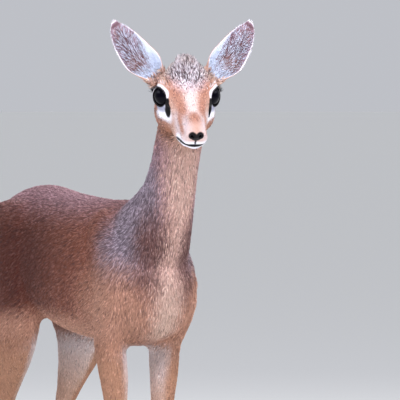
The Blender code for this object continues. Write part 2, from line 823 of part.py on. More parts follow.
def lock_mesh(root, direction, bend, length, width, thickness, name):
    """A flat lock of hair that tapers to its tip and bends along the coat."""
    bm = bmesh.new()
    stations = 4
    rings = []
    place = root - direction * 2.5
    heading = direction.copy()
    for index in range(stations):
        share = index / (stations - 1)
        taper = 1.0 - share ** 2.4 * 0.80
        if index == 0:
            taper = CREST_ROOT_SHARE
        across = heading.cross(bend).normalized()
        flat = across.cross(heading).normalized()
        ring = oval(place, across, flat, width * taper / 2.0, thickness * taper / 2.0, 6)
        rings.append(ring)
        place = place + heading * (length / (stations - 1))
        heading = (heading + bend * CREST_BEND).normalized()
    tip = place - heading * (length / (stations - 1)) + heading * 0.8
    add_tube(bm, rings, rings_middle(rings[0]) - direction * 0.5, tip)
    return mesh_from(bm, name)


def rings_middle(ring):
    return sum(ring, Vector()) / len(ring)


def crest_mesh(head, name):
    """The tuft of the crown: a low core with rows of overlapping locks, fused into one body."""
    draw = random.Random(SEED)
    tree = surface_tree(head)
    bm = bmesh.new()
    add_ball(bm, CREST_CORE_CENTRE, CREST_CORE_RADII, detail=2)
    core = mesh_from(bm, name + "_core")
    locks = bpy.data.collections.new("crest_locks")
    bpy.context.scene.collection.children.link(locks)
    for row in range(CREST_ROWS):
        y = CREST_FRONT_Y + row * CREST_ROW_STEP
        back = row / (CREST_ROWS - 1)
        for column in range(CREST_LOCKS_A_ROW):
            aside = column - (CREST_LOCKS_A_ROW - 1) / 2.0 + (row % 2 - 0.5) * 0.5
            x = aside * CREST_LOCK_SPACING * (0.8 + 0.2 * back)
            root = surface_point(tree, Vector((x, y, 0.0)), Vector((0.0, 0.0, 1.0)))
            root.z -= 0.4
            lean = 1.5 - 0.7 * math.sin(math.pi * min(back + 0.15, 1.0))
            direction = Vector(
                (aside * 0.12 + draw.uniform(-0.1, 0.1), lean + draw.uniform(-0.1, 0.1), 1.0)
            ).normalized()
            length = CREST_LOCK_LENGTH * draw.uniform(0.85, 1.1) * (1.0 - 0.10 * abs(aside))
            if row == 0:
                length *= 0.7
            lock = lock_mesh(
                root,
                direction,
                Vector((aside * 0.1, 1.0, -0.6)).normalized(),
                length,
                CREST_LOCK_WIDTH,
                CREST_LOCK_THICKNESS,
                f"lock_{row}_{column}",
            )
            thing = bpy.data.objects.new(lock.name, lock)
            locks.objects.link(thing)
    thing = add_object(name, core)
    union = thing.modifiers.new("union", "BOOLEAN")
    union.operation = "UNION"
    union.operand_type = "COLLECTION"
    union.collection = locks
    union.solver = "EXACT"
    made = evaluated_mesh(thing)
    bpy.data.objects.remove(thing, do_unlink=True)
    for lock in list(locks.objects):
        bpy.data.objects.remove(lock, do_unlink=True)
    bpy.data.collections.remove(locks)
    made.transform(HEAD_TURN)
    return seated(made, head, name)


# Ear sections: share of its length, radius and half angle of the curl, trim of the inner edge
EAR_SECTIONS = (
    (0.00, 9.0, 150.0, 0.0),
    (0.14, 11.5, 130.0, 16.0),
    (0.28, 15.5, 96.0, 24.0),
    (0.42, 19.5, 70.0, 25.0),
    (0.56, 20.5, 59.0, 23.0),
    (0.70, 19.5, 53.0, 22.0),
    (0.82, 17.0, 47.0, 23.0),
    (0.92, 13.0, 40.0, 25.0),
    (1.00, 6.0, 30.0, 18.0),
)


def ear_mesh(side, name):
    """A curled leaf with a wall of even thickness, open towards the front."""
    axis = mirrored(EAR_AXIS, side)
    face = mirrored(EAR_FACE, side)
    face = (face - axis * face.dot(axis)).normalized()
    width = axis.cross(face) * side
    root = mirrored(EAR_ROOT, side)
    across = 10
    outer = []
    inner = []
    bm = bmesh.new()
    for share, radius, half_angle, inner_trim in smooth_rows(EAR_SECTIONS, 2):
        centre = root + axis * (EAR_LENGTH * share) + face * (radius - 6.0)
        thickness = EAR_THICKNESS * (1.0 - 0.5 * share)
        for rows, reach in ((outer, radius), (inner, radius - thickness)):
            row = []
            for index in range(across + 1):
                degrees = -half_angle + inner_trim + (2.0 * half_angle - inner_trim) * index / across
                angle = math.radians(degrees)
                point = centre + width * (math.sin(angle) * reach) - face * (math.cos(angle) * reach)
                row.append(bm.verts.new(point))
            rows.append(row)
    for rows in (outer, inner):
        for first, second in zip(rows, rows[1:]):
            for index in range(across):
                bm.faces.new((first[index], first[index + 1], second[index + 1], second[index]))
    for edge in (0, across):
        for index in range(len(outer) - 1):
            bm.faces.new(
                (outer[index][edge], outer[index + 1][edge], inner[index + 1][edge], inner[index][edge])
            )
    for row in (0, len(outer) - 1):
        for index in range(across):
            bm.faces.new(
                (outer[row][index], outer[row][index + 1], inner[row][index + 1], inner[row][index])
            )
    bmesh.ops.triangulate(bm, faces=bm.faces)
    bmesh.ops.transform(bm, matrix=HEAD_TURN, verts=bm.verts)
    return mesh_from(bm, name)


def tail_mesh():
    bm = bmesh.new()
    add_limb(bm, [(0.0, *row) for row in TAIL], 12)
    return mesh_from(bm, "tail")


def all_meshes():
    """Each node's mesh in millimetres, by name."""
    body = body_mesh()
    meshes = {}
    trunk = cut_flat(body, NECK_CUT - NECK_CUT_FACES * -GAP / 2, -NECK_CUT_FACES, "torso")
    trunk = keep_one(above(trunk, LEG_TOP_CUT, "torso"))
    for side in (-1, 1):
        for kind, block, groin in (("shoulder", SHOULDER_BLOCK, False), ("haunch", HAUNCH_BLOCK, True)):
            name = f"{kind}_{side_name(side)}"
            kept = boolean(trunk, limb_block(block, side, 0.0, name, groin), "INTERSECT", name)
            meshes[name] = keep_one(kept)
    for side in (-1, 1):
        for kind, block, groin in (("shoulder", SHOULDER_BLOCK, False), ("haunch", HAUNCH_BLOCK, True)):
            trunk = boolean(trunk, limb_block(block, side, GAP, "block", groin), "DIFFERENCE", "torso")
    meshes["torso"] = keep_one(trunk)
    meshes["tail"] = seated(tail_mesh(), trunk, "tail")
    neck = cut_flat(body, NECK_CUT - NECK_CUT_FACES * GAP / 2, NECK_CUT_FACES, "neck")
    neck = cut_flat(neck, HEAD_CUT + HEAD_CUT_FACES * GAP / 2, -HEAD_CUT_FACES, "neck")
    meshes["neck"] = keep_one(neck, HEAD_CUT.lerp(NECK_CUT, 0.5))
    head = carved_head(head_mesh())
    meshes["head"] = head
    meshes["crest"] = crest_mesh(head, "crest")
    for side in (-1, 1):
        word = side_name(side)
        meshes[f"eye_{word}"] = eye_mesh(side, "eye")
        meshes[f"ear_{word}"] = seated(ear_mesh(side, "ear"), head, "ear")
    for kind in ("fore", "hind"):
        for side in (-1, 1):
            meshes.update(leg_pieces(body, kind, side))
            foot = meshes[f"{kind}_foot_{side_name(side)}"]
            add_hooves(meshes, foot, kind, side)
    return meshes


def add_hooves(meshes, foot, kind, side):
    rows = leg_rows(kind, side)
    x, y = rows[-1][:2]
    fetlock = Vector(rows[-3][:3])
    for part, word in ((1, "left"), (-1, "right")):
        name = f"{kind}_hoof_{side_name(side)}_{word}_claw"
        meshes[name] = claw_mesh(Vector((x, y, 0.0)), part, name)
        name = f"{kind}_false_hoof_{side_name(side)}_{word}"
        place = fetlock + Vector((part * 4.2, 5.0, -4.0))
        meshes[name] = seated(false_hoof_mesh(place, part, name), foot, name)


def main():
    clear_scene()
    coat = material("coat_rufous", COAT_RUFOUS, 0.8)
    grey = material("coat_grey", COAT_GREY, 0.8)
    pale = material("coat_pale", COAT_PALE, 0.8)
    pink = material("ear_skin", EAR_PINK, 0.7)
    black = material("eye_gloss", EYE_BLACK, 0.05)
    horn = material("hoof_horn", HOOF_BLACK, 0.4)
    finishes = (
        ("eye", black),
        ("ear", pink),
        ("hoof", horn),
        ("foot", pale),
        ("cannon", pale),
        ("neck", grey),
        ("shoulder", grey),
    )
    meshes = all_meshes()
    corners = [vert.co for mesh in meshes.values() for vert in mesh.vertices]
    middle_x = (min(point.x for point in corners) + max(point.x for point in corners)) / 2.0
    middle_y = (min(point.y for point in corners) + max(point.y for point in corners)) / 2.0
    settle = Matrix.Scale(METRES_PER_MM, 4) @ Matrix.Translation((-middle_x, -middle_y, 0.0))
    for name, mesh in meshes.items():
        mesh.transform(settle)
        chosen = coat
        for word, finish in finishes:
            if word in name:
                chosen = finish
                break
        mesh.materials.clear()
        mesh.materials.append(chosen.copy())
        add_object(name, mesh)


main()
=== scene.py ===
"""The looks of the dik-dik: one skin, a coat of tufts, eyes, lashes, hooves, camera and light."""

import math

import bmesh
import bpy
import numpy as np
from mathutils import Matrix, Vector
from mathutils.kdtree import KDTree


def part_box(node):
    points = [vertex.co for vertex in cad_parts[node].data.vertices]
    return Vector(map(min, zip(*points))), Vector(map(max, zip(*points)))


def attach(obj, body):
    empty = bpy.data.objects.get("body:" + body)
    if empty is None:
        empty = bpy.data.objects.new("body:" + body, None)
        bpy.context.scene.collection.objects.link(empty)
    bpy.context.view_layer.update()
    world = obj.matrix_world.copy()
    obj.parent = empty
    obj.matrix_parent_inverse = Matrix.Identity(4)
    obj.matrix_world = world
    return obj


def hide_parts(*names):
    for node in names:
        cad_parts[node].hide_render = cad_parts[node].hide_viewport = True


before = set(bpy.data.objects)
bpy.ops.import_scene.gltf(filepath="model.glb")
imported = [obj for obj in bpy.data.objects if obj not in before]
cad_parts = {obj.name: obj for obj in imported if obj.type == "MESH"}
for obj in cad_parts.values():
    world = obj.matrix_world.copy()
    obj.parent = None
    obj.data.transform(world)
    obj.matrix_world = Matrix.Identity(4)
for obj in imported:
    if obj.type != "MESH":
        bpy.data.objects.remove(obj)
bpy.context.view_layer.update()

# The maker's own sizes, in millimetres, as in the part's source
MM = 0.001
HEAD_ORIGIN = Vector((-10.0, -221.0, 483.0))
HEAD_YAW = math.radians(-18.0)
HEAD_PITCH = math.radians(27.0)
EYE_RADIUS = 10.6
EYE_CENTRE = Vector((20.0, 0.0, 0.0))
EYE_AIM = Vector((0.80, -0.58, 0.12)).normalized()
LID_HALF_LENGTH = 9.3
LID_HALF_HEIGHT = 8.0
EAR_ROOT = Vector((22.0, 24.0, 2.0))
EAR_AXIS = Vector((0.60, 0.44, 0.67)).normalized()
EAR_FACE = Vector((0.20, -0.85, 0.48)).normalized()
EAR_LENGTH = 72.0
EAR_THICKNESS = 1.7
MOUTH_PIVOT_Y = -42.0
MOUTH_FRONT_HEIGHT = -17.2
MOUTH_CORNER_DROP = 5.6
MOUTH_HALF_ANGLE = math.radians(98.0)
GLAND_PLACE = (20.0, -17.8, -7.0)
CREST_CORE_CENTRE = Vector((0.0, 15.0, 21.5))
CREST_CORE_RADII = Vector((11.0, 17.5, 6.0))
CREST_PLACE = (0.0, 15.0, 22.0)
CREST_RADII = (17.0, 21.0, 13.0)
HEAD_CUT = np.array((2.0, -183.0, 446.0))
HEAD_CUT_FACES = np.array((0.0, 0.35, -0.94))
NECK_CUT = np.array((0.0, -140.0, 362.0))
NECK_CUT_FACES = np.array((0.0, 0.62, -0.78))

# Ear sections: share of its length, radius and half angle of the curl, trim of the inner edge
EAR_SECTIONS = (
    (0.00, 9.0, 150.0, 0.0),
    (0.14, 11.5, 130.0, 16.0),
    (0.28, 15.5, 96.0, 24.0),
    (0.42, 19.5, 70.0, 25.0),
    (0.56, 20.5, 59.0, 23.0),
    (0.70, 19.5, 53.0, 22.0),
    (0.82, 17.0, 47.0, 23.0),
    (0.92, 13.0, 40.0, 25.0),
    (1.00, 6.0, 30.0, 18.0),
)

# Heights between which the leg passes into the body, and the foot into the leg
LEG_TOP = (222.0, 262.0)
FOOT_TOP = (40.0, 110.0)
TAIL_MIDDLE = (0.0, 216.0, 335.0)
TAIL_RADII = (11.0, 14.0, 26.0)
TAIL_COAT_RADII = (14.0, 18.0, 34.0)

SEED = 7
FINE_VOXEL = 0.8
BODY_VOXEL = 2.1
JOIN_PLACE = Vector((1.0, -175.0, 424.0))
JOIN_FACES = Vector((0.0, 0.25, -0.97)).normalized()

eye_boxes = [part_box("eye_left"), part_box("eye_right")]
EYES_MIDDLE = sum((low + high for low, high in eye_boxes), Vector()) / 4.0
SHIFT = EYES_MIDDLE / MM - HEAD_ORIGIN
TO_SCENE = Matrix.Scale(MM, 4) @ Matrix.Translation(SHIFT)
HEAD_TURN = (
    Matrix.Translation(HEAD_ORIGIN)
    @ Matrix.Rotation(HEAD_YAW, 4, "Z")
    @ Matrix.Rotation(HEAD_PITCH, 4, "X")
)
TURN = np.array(HEAD_TURN.to_3x3())
ORIGIN = np.array(HEAD_ORIGIN)

draw = np.random.default_rng(SEED)


def linear(text):
    """An sRGB hex value as linear light."""
    parts = [int(text[start:start + 2], 16) / 255.0 for start in (1, 3, 5)]
    return np.array([p / 12.92 if p <= 0.04045 else ((p + 0.055) / 1.055) ** 2.4 for p in parts])


def to_head(points):
    return (points - ORIGIN) @ TURN


def from_head(points):
    return points @ TURN.T + ORIGIN


def mirrored(places):
    """The same places of the head or body, all brought to the animal's left side."""
    folded = places.copy()
    folded[:, 0] = np.abs(places[:, 0])
    return folded


def rise(value, low, high):
    """0 at low, 1 at high, smooth between."""
    share = np.clip((value - low) / (high - low), 0.0, 1.0)
    return share * share * (3.0 - 2.0 * share)


def unit(vectors):
    return vectors / np.maximum(np.linalg.norm(vectors, axis=-1, keepdims=True), 1e-9)


def mixed(first, second, share):
    share = np.asarray(share)[..., None]
    return first * (1.0 - share) + second * share


def inside(points, centre, radii, softness):
    """1 in the middle of an egg-shaped patch, 0 outside it."""
    reach = np.linalg.norm((points - np.array(centre)) / np.array(radii), axis=1)
    return 1.0 - rise(reach, 1.0 - softness, 1.0 + softness)


def waves(points, size, phase):
    """A slow, even wandering between -1 and 1, for streams in the coat."""
    p = points / size
    return (
        np.sin(p[:, 0] * 1.7 + p[:, 1] * 2.3 + phase)
        + np.sin(p[:, 1] * 1.3 - p[:, 2] * 2.9 + phase * 1.7)
        + np.sin(p[:, 2] * 1.9 + p[:, 0] * 2.1 - phase * 0.6)
    ) / 3.0


def smooth_rows(rows, steps):
    """Rows of numbers with steps - 1 more rows between each pair, on a Catmull-Rom curve."""
    made = []
    last = len(rows) - 1
    for index in range(last):
        before, start = np.array(rows[max(index - 1, 0)]), np.array(rows[index])
        end, after = np.array(rows[index + 1]), np.array(rows[min(index + 2, last)])
        square = 2 * before - 5 * start + 4 * end - after
        cube = 3 * start - before - 3 * end + after
        for step in range(steps):
            t = step / steps
            made.append(0.5 * (2 * start + (end - before) * t + square * t ** 2 + cube * t ** 3))
    made.append(np.array(rows[-1]))
    return np.array(made)


# Markings

COAT = {
    "rufous": linear("#8d5845"),
    "flank": linear("#5e3328"),
    "saddle": linear("#a98488"),
    "grey": linear("#94868f"),
    "tan": linear("#bf9078"),
    "pale tan": linear("#d9bba8"),
    "neck tan": linear("#dab5a5"),
    "shoulder": linear("#75524c"),
    "face tan": linear("#cda592"),
    "orange": linear("#b3806a"),
    "pink": linear("#dfcac6"),
    "ear white": linear("#e2edfc"),
    "cream": linear("#e8ccc2"),
    "white": linear("#f6f4f8"),
    "crown": linear("#c6b0b2"),
    "cheek": linear("#a67a68"),
    "jaw": linear("#9c6b52"),
    "leg": linear("#b5886c"),
    "nose": linear("#120f11"),
    # painted shadow under the lower lid, a blue-grey laid over the coat below the eye
    "painted lid shadow": linear("#8c90a6"),
    "ear skin": linear("#9a7f88"),
    "dark ear": linear("#5c4044"),
    "dark hair": linear("#33242a"),
}

# Patches of the body: colour, middle, radii, softness, share of grizzled hairs
BODY_PATCHES = (
    ("saddle", (0.0, 70.0, 400.0), (46.0, 190.0, 46.0), 0.5, 0.7),
    ("flank", (50.0, 80.0, 320.0), (38.0, 96.0, 56.0), 0.6, 0.3),
    ("rufous", (40.0, 175.0, 300.0), (40.0, 50.0, 60.0), 0.6, 0.4),
    ("tan", (48.0, 10.0, 256.0), (40.0, 130.0, 16.0), 0.6, 0.2),
    ("grey", (32.0, -132.0, 356.0), (34.0, 30.0, 46.0), 0.7, 1.0),
    ("tan", (34.0, -120.0, 278.0), (38.0, 56.0, 40.0), 0.6, 0.25),
    ("neck tan", (0.0, -172.0, 320.0), (17.0, 30.0, 62.0), 0.7, 0.3),
    ("pale tan", (0.0, -166.0, 258.0), (12.0, 30.0, 40.0), 0.9, 0.1),
    ("grey", (20.0, -140.0, 396.0), (16.0, 26.0, 66.0), 0.6, 1.0),
    ("grey", (0.0, -126.0, 400.0), (22.0, 30.0, 60.0), 0.8, 1.0),
    ("saddle", (20.0, -182.0, 414.0), (13.0, 22.0, 50.0), 0.6, 0.7),
    ("grey", (22.0, -160.0, 390.0), (11.0, 20.0, 44.0), 0.6, 1.0),
    ("neck tan", (2.0, -208.0, 400.0), (18.0, 32.0, 70.0), 0.5, 0.3),
    ("shoulder", (24.0, -168.0, 338.0), (17.0, 22.0, 38.0), 0.6, 0.8),
    ("white", (0.0, 30.0, 234.0), (34.0, 160.0, 14.0), 0.5, 0.0),
)

# Patches of the head, in its own directions and mirrored to both sides
HEAD_PATCHES = (
    ("cheek", (24.0, 4.0, -24.0), (18.0, 32.0, 22.0), 0.5, 0.7),
    ("jaw", (12.0, 6.0, -38.0), (18.0, 40.0, 13.0), 0.5, 0.5),
    ("pale tan", (0.0, -14.0, -38.0), (9.0, 30.0, 9.0), 0.6, 0.1),
    ("pink", (10.0, -50.0, -6.0), (13.0, 23.0, 13.0), 0.4, 0.2),
    ("face tan", (19.0, 8.0, 18.0), (16.0, 18.0, 15.0), 0.5, 0.35),
    ("orange", (13.5, -13.0, 13.0), (8.5, 18.0, 10.0), 0.6, 0.6),
    ("orange", (9.5, -33.0, 4.5), (5.6, 16.0, 7.0), 0.6, 0.35),
    ("orange", (12.4, -46.0, -2.5), (2.3, 10.0, 4.2), 0.7, 0.3),
    ("orange", (11.6, -56.0, -6.0), (2.0, 9.0, 3.6), 0.7, 0.3),
    ("cream", (0.0, -20.0, 14.0), (5.6, 26.0, 11.0), 0.95, 0.4),
    ("cream", (0.0, -34.0, 8.0), (3.8, 13.0, 8.0), 0.9, 0.2),
    ("orange", (0.0, -55.0, 5.5), (6.0, 9.0, 6.0), 0.7, 0.3),
    ("crown", (0.0, -5.0, 21.0), (13.0, 15.0, 10.0), 0.8, 0.9),
    ("crown", (0.0, 10.0, 25.0), (19.0, 26.0, 19.0), 0.4, 1.15),
    ("face tan", (0.0, 15.0, 38.0), (13.0, 18.0, 9.0), 0.6, 0.8),
    ("white", (21.5, -15.0, -11.0), (9.5, 12.0, 8.0), 0.35, 0.05),
    ("white", (26.0, -7.0, -13.0), (6.0, 6.0, 6.5), 0.45, 0.1),
)


def eye_places(local):
    """Distance from the line that the eye looks along, the way along it, and the way across it."""
    away = mirrored(local) - np.array(EYE_CENTRE)
    aim = np.array(EYE_AIM)
    along = away @ aim
    across = away - along[:, None] * aim
    return np.linalg.norm(across, axis=1), along, across


LEG_GRIZZLE = 0.15

# How far the white ring reaches from the line the eye looks along, and how much more at the brow
EYE_RING_REACH = 11.3
EYE_BROW_REACH = 0.9


def mouth_places(folded):
    """Height over the line of the mouth, and the way from its front, 0, to its corner, 1."""
    ahead = -(folded[:, 1] - MOUTH_PIVOT_Y)
    part_way = np.arctan2(folded[:, 0], ahead) / MOUTH_HALF_ANGLE
    drop = MOUTH_CORNER_DROP * np.minimum(part_way, 1.2) ** 1.6
    return folded[:, 2] - (MOUTH_FRONT_HEIGHT - drop), part_way


def crest_share(points):
    return inside(to_head(points), CREST_PLACE, CREST_RADII, 0.45)


def shares(points):
    """How much each point belongs to the head, the neck, the legs and the feet."""
    above = -(points - HEAD_CUT) @ HEAD_CUT_FACES
    head = rise(above, -10.0, 8.0) * rise(points[:, 2], 400.0, 420.0)
    over = -(points - NECK_CUT) @ NECK_CUT_FACES
    neck = rise(over, -22.0, 22.0) * (1.0 - head) * rise(-points[:, 1], 70.0, 105.0)
    leg = 1.0 - rise(points[:, 2], *LEG_TOP)
    foot = 1.0 - rise(points[:, 2], *FOOT_TOP)
    return head, neck, leg, foot


def hairs(colour, grizzle):
    """A colour of the coat, with the share of its hairs that are grizzled."""
    return np.array((*COAT[colour], grizzle))


def patched(start, patches, places):
    """Hairs of one kind with patches of others laid over them, one after the other."""
    coat = np.tile(start, (len(places), 1))
    for colour, centre, radii, softness, grizzle in patches:
        coat = mixed(coat, hairs(colour, grizzle), inside(places, centre, radii, softness))
    return coat


def markings(points, normals):
    """Colour of the coat and its share of grizzled hairs at points of the body and head."""
    head, _, leg, _ = shares(points)
    coat = patched(hairs("rufous", 0.6), BODY_PATCHES, mirrored(points))
    inner = rise(-normals[:, 0] * np.sign(points[:, 0]), 0.0, 0.7)
    leg_coat = mixed(hairs("leg", LEG_GRIZZLE), hairs("pale tan", LEG_GRIZZLE), inner * 0.5)
    high = rise(points[:, 2], 185.0, 240.0)
    leg_coat = mixed(leg_coat, hairs("white", LEG_GRIZZLE), inner * high * 0.4)
    coat = mixed(coat, leg_coat, leg)
    tail = inside(points, TAIL_MIDDLE, TAIL_RADII, 0.3)
    under = rise(normals[:, 1], -0.2, -0.7)
    coat[:, :3] = mixed(coat[:, :3], COAT["white"], tail * under)

    local = to_head(points)
    folded = mirrored(local)
    face = patched(hairs("face tan", 0.35), HEAD_PATCHES, folded)
    over, part_way = mouth_places(folded)
    lips = rise(over, -8.5, -6.0) * (1.0 - rise(over, 4.0, 7.0)) * (1.0 - rise(part_way, 0.85, 1.1))
    face = mixed(face, hairs("white", 0.0), lips)
    from_line, along, across = eye_places(local)
    upward = across[:, 2] / np.maximum(from_line, 0.1)
    near = rise(along, 0.0, 4.0)
    edge = EYE_RING_REACH + EYE_BROW_REACH * rise(upward, 0.0, 0.8)
    ring = near * rise(from_line, 9.0, 10.0) * (1.0 - rise(from_line - edge, -0.8, 0.8))
    face = mixed(face, hairs("white", 0.0), ring)
    # Painted shadow under the lower lid: blue-grey mixed into the coat just below the eye
    painted_shadow = near * rise(-upward, 0.2, 0.7) * (1.0 - rise(from_line, 12.0, 16.0))
    face[:, :3] = mixed(face[:, :3], COAT["painted lid shadow"], painted_shadow * 0.8)
    coat = mixed(coat, face, head)
    return coat[:, :3], coat[:, 3]


# Bare black skin of the head: middle and radii of each patch
BARE_PATCHES = (
    ((3.3, -71.0, -4.6), (3.9, 7.0, 4.0)),
    ((0.0, -71.0, -7.0), (4.6, 7.0, 3.4)),
    ((0.0, -69.0, -12.0), (0.9, 7.0, 5.0)),
    (GLAND_PLACE, (4.6, 5.2, 6.4)),
    ((20.2, -16.0, -2.6), (3.4, 3.8, 3.8)),
    ((20.3, -14.0, 0.0), (3.0, 3.2, 4.4)),
)
LIP_HALF_HEIGHT = 1.7


def bare_places(points, margin=0.0):
    """1 on the black skin of the nose, mouth, glands and lids, or within a margin of it."""
    local = to_head(points)
    folded = mirrored(local)
    bare = np.zeros(len(points))
    for centre, radii in BARE_PATCHES:
        bare = np.maximum(bare, inside(folded, centre, np.array(radii) + margin, 0.12))
    over, part_way = mouth_places(folded)
    height = LIP_HALF_HEIGHT * (1.0 - 0.25 * part_way) + margin
    lips = (1.0 - rise(np.abs(over) / height, 0.8, 1.2)) * (1.0 - rise(part_way, 0.97, 1.03))
    from_line, along, _ = eye_places(local)
    lid = (1.0 - rise(from_line - margin, 9.2, 10.0)) * rise(along, 0.0, 3.0)
    return np.clip(np.maximum(bare, np.maximum(lips, lid)), 0.0, 1.0)


# Skin

def add_object(name, data):
    thing = bpy.data.objects.new(name, data)
    bpy.context.scene.collection.objects.link(thing)
    return thing


def evaluated(thing, name):
    graph = bpy.context.evaluated_depsgraph_get()
    made = bpy.data.meshes.new_from_object(thing.evaluated_get(graph))
    made.name = name
    old = thing.data
    bpy.data.objects.remove(thing, do_unlink=True)
    bpy.data.meshes.remove(old)
    return made


def place_of(mesh):
    points = np.empty(len(mesh.vertices) * 3)
    mesh.vertices.foreach_get("co", points)
    return points.reshape(-1, 3)


def normals_of(mesh):
    made = np.empty(len(mesh.vertices) * 3, np.float32)
    mesh.vertex_normals.foreach_get("vector", made)
    return made.reshape(-1, 3).astype(float)


def put_points(mesh, points):
    mesh.vertices.foreach_set("co", points.astype(np.float32).ravel())
    mesh.update()


def mesh_from(bm, name):
    mesh = bpy.data.meshes.new(name)
    bm.to_mesh(mesh)
    bm.free()
    return mesh


def closed_mesh(bm, name):
    """The mesh of a shape whose two open rims are joined with a wall."""
    bmesh.ops.bridge_loops(bm, edges=[edge for edge in bm.edges if edge.is_boundary])
    bmesh.ops.triangulate(bm, faces=[face for face in bm.faces if len(face.verts) > 4])
    bmesh.ops.recalc_face_normals(bm, faces=bm.faces)
    return mesh_from(bm, name)


def remeshed(names, voxel, name, crown=False):
    """Copies of the part's flesh, merged and made one even surface, in the maker's millimetres."""
    bm = bmesh.new()
    for node in names:
        bm.from_mesh(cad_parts[node].data)
    bmesh.ops.remove_doubles(bm, verts=bm.verts, dist=1e-6)
    bmesh.ops.transform(bm, matrix=TO_SCENE.inverted(), verts=bm.verts)
    if crown:
        place = Matrix.Translation(CREST_CORE_CENTRE) @ Matrix.Diagonal((*CREST_CORE_RADII, 1.0))
        bmesh.ops.create_icosphere(bm, subdivisions=4, radius=1.0, matrix=HEAD_TURN @ place)
    thing = add_object(name, mesh_from(bm, name))
    remesh = thing.modifiers.new("remesh", "REMESH")
    remesh.mode = "VOXEL"
    remesh.voxel_size = voxel
    return evaluated(thing, name)


def relax(mesh, rounds, strength, swell=0.53):
    """Evens out facets without shrinking: each round smooths and then swells back."""
    points = place_of(mesh)
    edges = np.empty(len(mesh.edges) * 2, np.int32)
    mesh.edges.foreach_get("vertices", edges)
    first, second = edges.reshape(-1, 2).T
    count = len(points)
    ends = np.concatenate((first, second))
    others = np.concatenate((second, first))
    shared = np.bincount(ends, minlength=count).astype(float)
    for _ in range(rounds):
        for push in (0.5, -swell):
            heaps = [np.bincount(ends, points[others, axis], count) for axis in range(3)]
            average = np.column_stack(heaps) / shared[:, None]
            points = points + (average - points) * (push * strength(points))[:, None]
    put_points(mesh, points)


BODY_DEPTH = 1.7
LEG_DEPTH = 1.0
FOOT_DEPTH = 0.6

# The lower lip's soft side, which stands out past the solids by this much
LIP_SWELL = 2.2
LIP_SWELL_PLACE = ((10.0, -52.0, -22.0), (4.5, 8.5, 4.5))


def coat_depth(points):
    """How far the skin lies inside the solids, in millimetres."""
    head, _, leg, foot = shares(points)
    depth = BODY_DEPTH * (1.0 - leg) + LEG_DEPTH * leg
    depth = depth * (1.0 - foot) + FOOT_DEPTH * foot
    local = to_head(points)
    face = 0.45 + 0.7 * rise(local[:, 1], -5.0, 30.0)
    from_line, along, _ = eye_places(local)
    near_eye = (1.0 - rise(from_line, 12.0, 17.0)) * rise(along, -8.0, 0.0)
    face = face * (1.0 - near_eye) * rise(local[:, 1], -72.0, -56.0)
    face = face - LIP_SWELL * inside(mirrored(local), *LIP_SWELL_PLACE, 0.7)
    return depth * (1.0 - head) + face * head


def sides_of_cut(mesh, keep_head):
    bm = bmesh.new()
    bm.from_mesh(mesh)
    geometry = bm.verts[:] + bm.edges[:] + bm.faces[:]
    plane = {"plane_co": JOIN_PLACE, "plane_no": JOIN_FACES, "dist": 1e-4}
    bmesh.ops.bisect_plane(bm, geom=geometry, clear_outer=keep_head, clear_inner=not keep_head, **plane)
    bm.to_mesh(mesh)
    bm.free()
    return mesh


def united(mesh, other, name):
    thing = add_object(name, mesh)
    tool = add_object(name + "_tool", other)
    union = thing.modifiers.new("union", "BOOLEAN")
    union.operation = "UNION"
    union.object = tool
    union.solver = "MANIFOLD"
    made = evaluated(thing, name)
    bpy.data.objects.remove(tool, do_unlink=True)
    bpy.data.meshes.remove(other)
    return made


EAR_FINE = smooth_rows(EAR_SECTIONS, 8)


def ear_section(along):
    """Share of the ear's length, radius, half angle and trim, at places along it."""
    return [np.interp(along, EAR_FINE[:, 0], EAR_FINE[:, column]) for column in range(4)]


def ear_points(side, across, along, inset):
    """Points of an ear: across from its inner edge, -1, to its outer edge, 1, and along it."""
    turned = (side, 1.0, 1.0)
    axis = np.array(EAR_AXIS) * turned
    face = np.array(EAR_FACE) * turned
    face = unit(face - axis * (face @ axis))
    width = np.cross(axis, face) * side
    root = np.array(EAR_ROOT) * turned
    share, radius, half, trim = ear_section(along)
    angle = np.radians(-half + trim + (2.0 * half - trim) * (across + 1.0) / 2.0)
    reach = radius - inset
    centre = root + axis * (EAR_LENGTH * share)[:, None] + face * (radius - 6.0)[:, None]
    spot = centre + width * (np.sin(angle) * reach)[:, None] - face * (np.cos(angle) * reach)[:, None]
    outward = width * np.sin(angle)[:, None] - face * np.cos(angle)[:, None]
    return from_head(spot), outward @ TURN.T


# How far the skin of an ear lies inside the solid's back and front, and how far short of its rim
EAR_BACK_INSET = 0.45
EAR_FRONT_INSET = 0.15
EAR_SHARE = 0.985


def ear_wall(along):
    return EAR_THICKNESS * (1.0 - 0.5 * along) - EAR_BACK_INSET - EAR_FRONT_INSET


def ear_leaf(side, name):
    """A curled leaf of skin, made from a grid and closed with a rounded wall."""
    bm = bmesh.new()
    bmesh.ops.create_grid(bm, x_segments=36, y_segments=48, size=1.0)
    flat = np.array([vert.co for vert in bm.verts])
    along = (flat[:, 1] + 1.0) / 2.0
    across, length = flat[:, 0] * EAR_SHARE, along * EAR_SHARE
    spots, _ = ear_points(side, across, length, EAR_BACK_INSET)
    inner, _ = ear_points(side, across, length, EAR_BACK_INSET + ear_wall(along))
    back = bm.faces[:]
    for vert, spot in zip(bm.verts, spots):
        vert.co = spot
    solid = bmesh.ops.duplicate(bm, geom=back)
    copies = [item for item in solid["geom"] if isinstance(item, bmesh.types.BMVert)]
    for vert, spot in zip(copies, inner):
        vert.co = spot
    return closed_mesh(bm, name)


def near_join(points):
    """1 close to the place where the finer skin of the head meets the rest."""
    away = np.abs((points - np.array(JOIN_PLACE)) @ np.array(JOIN_FACES))
    return 1.0 - rise(away, 4.0, 10.0)


def near_neck(points):
    """1 where the neck runs into the breast and shoulders, which the skin rounds off."""
    away = np.abs((points - NECK_CUT) @ NECK_CUT_FACES)
    above = rise(points[:, 2], 290.0, 310.0)
    return (1.0 - rise(away, 6.0, 30.0)) * above * rise(-points[:, 1], 60.0, 90.0)


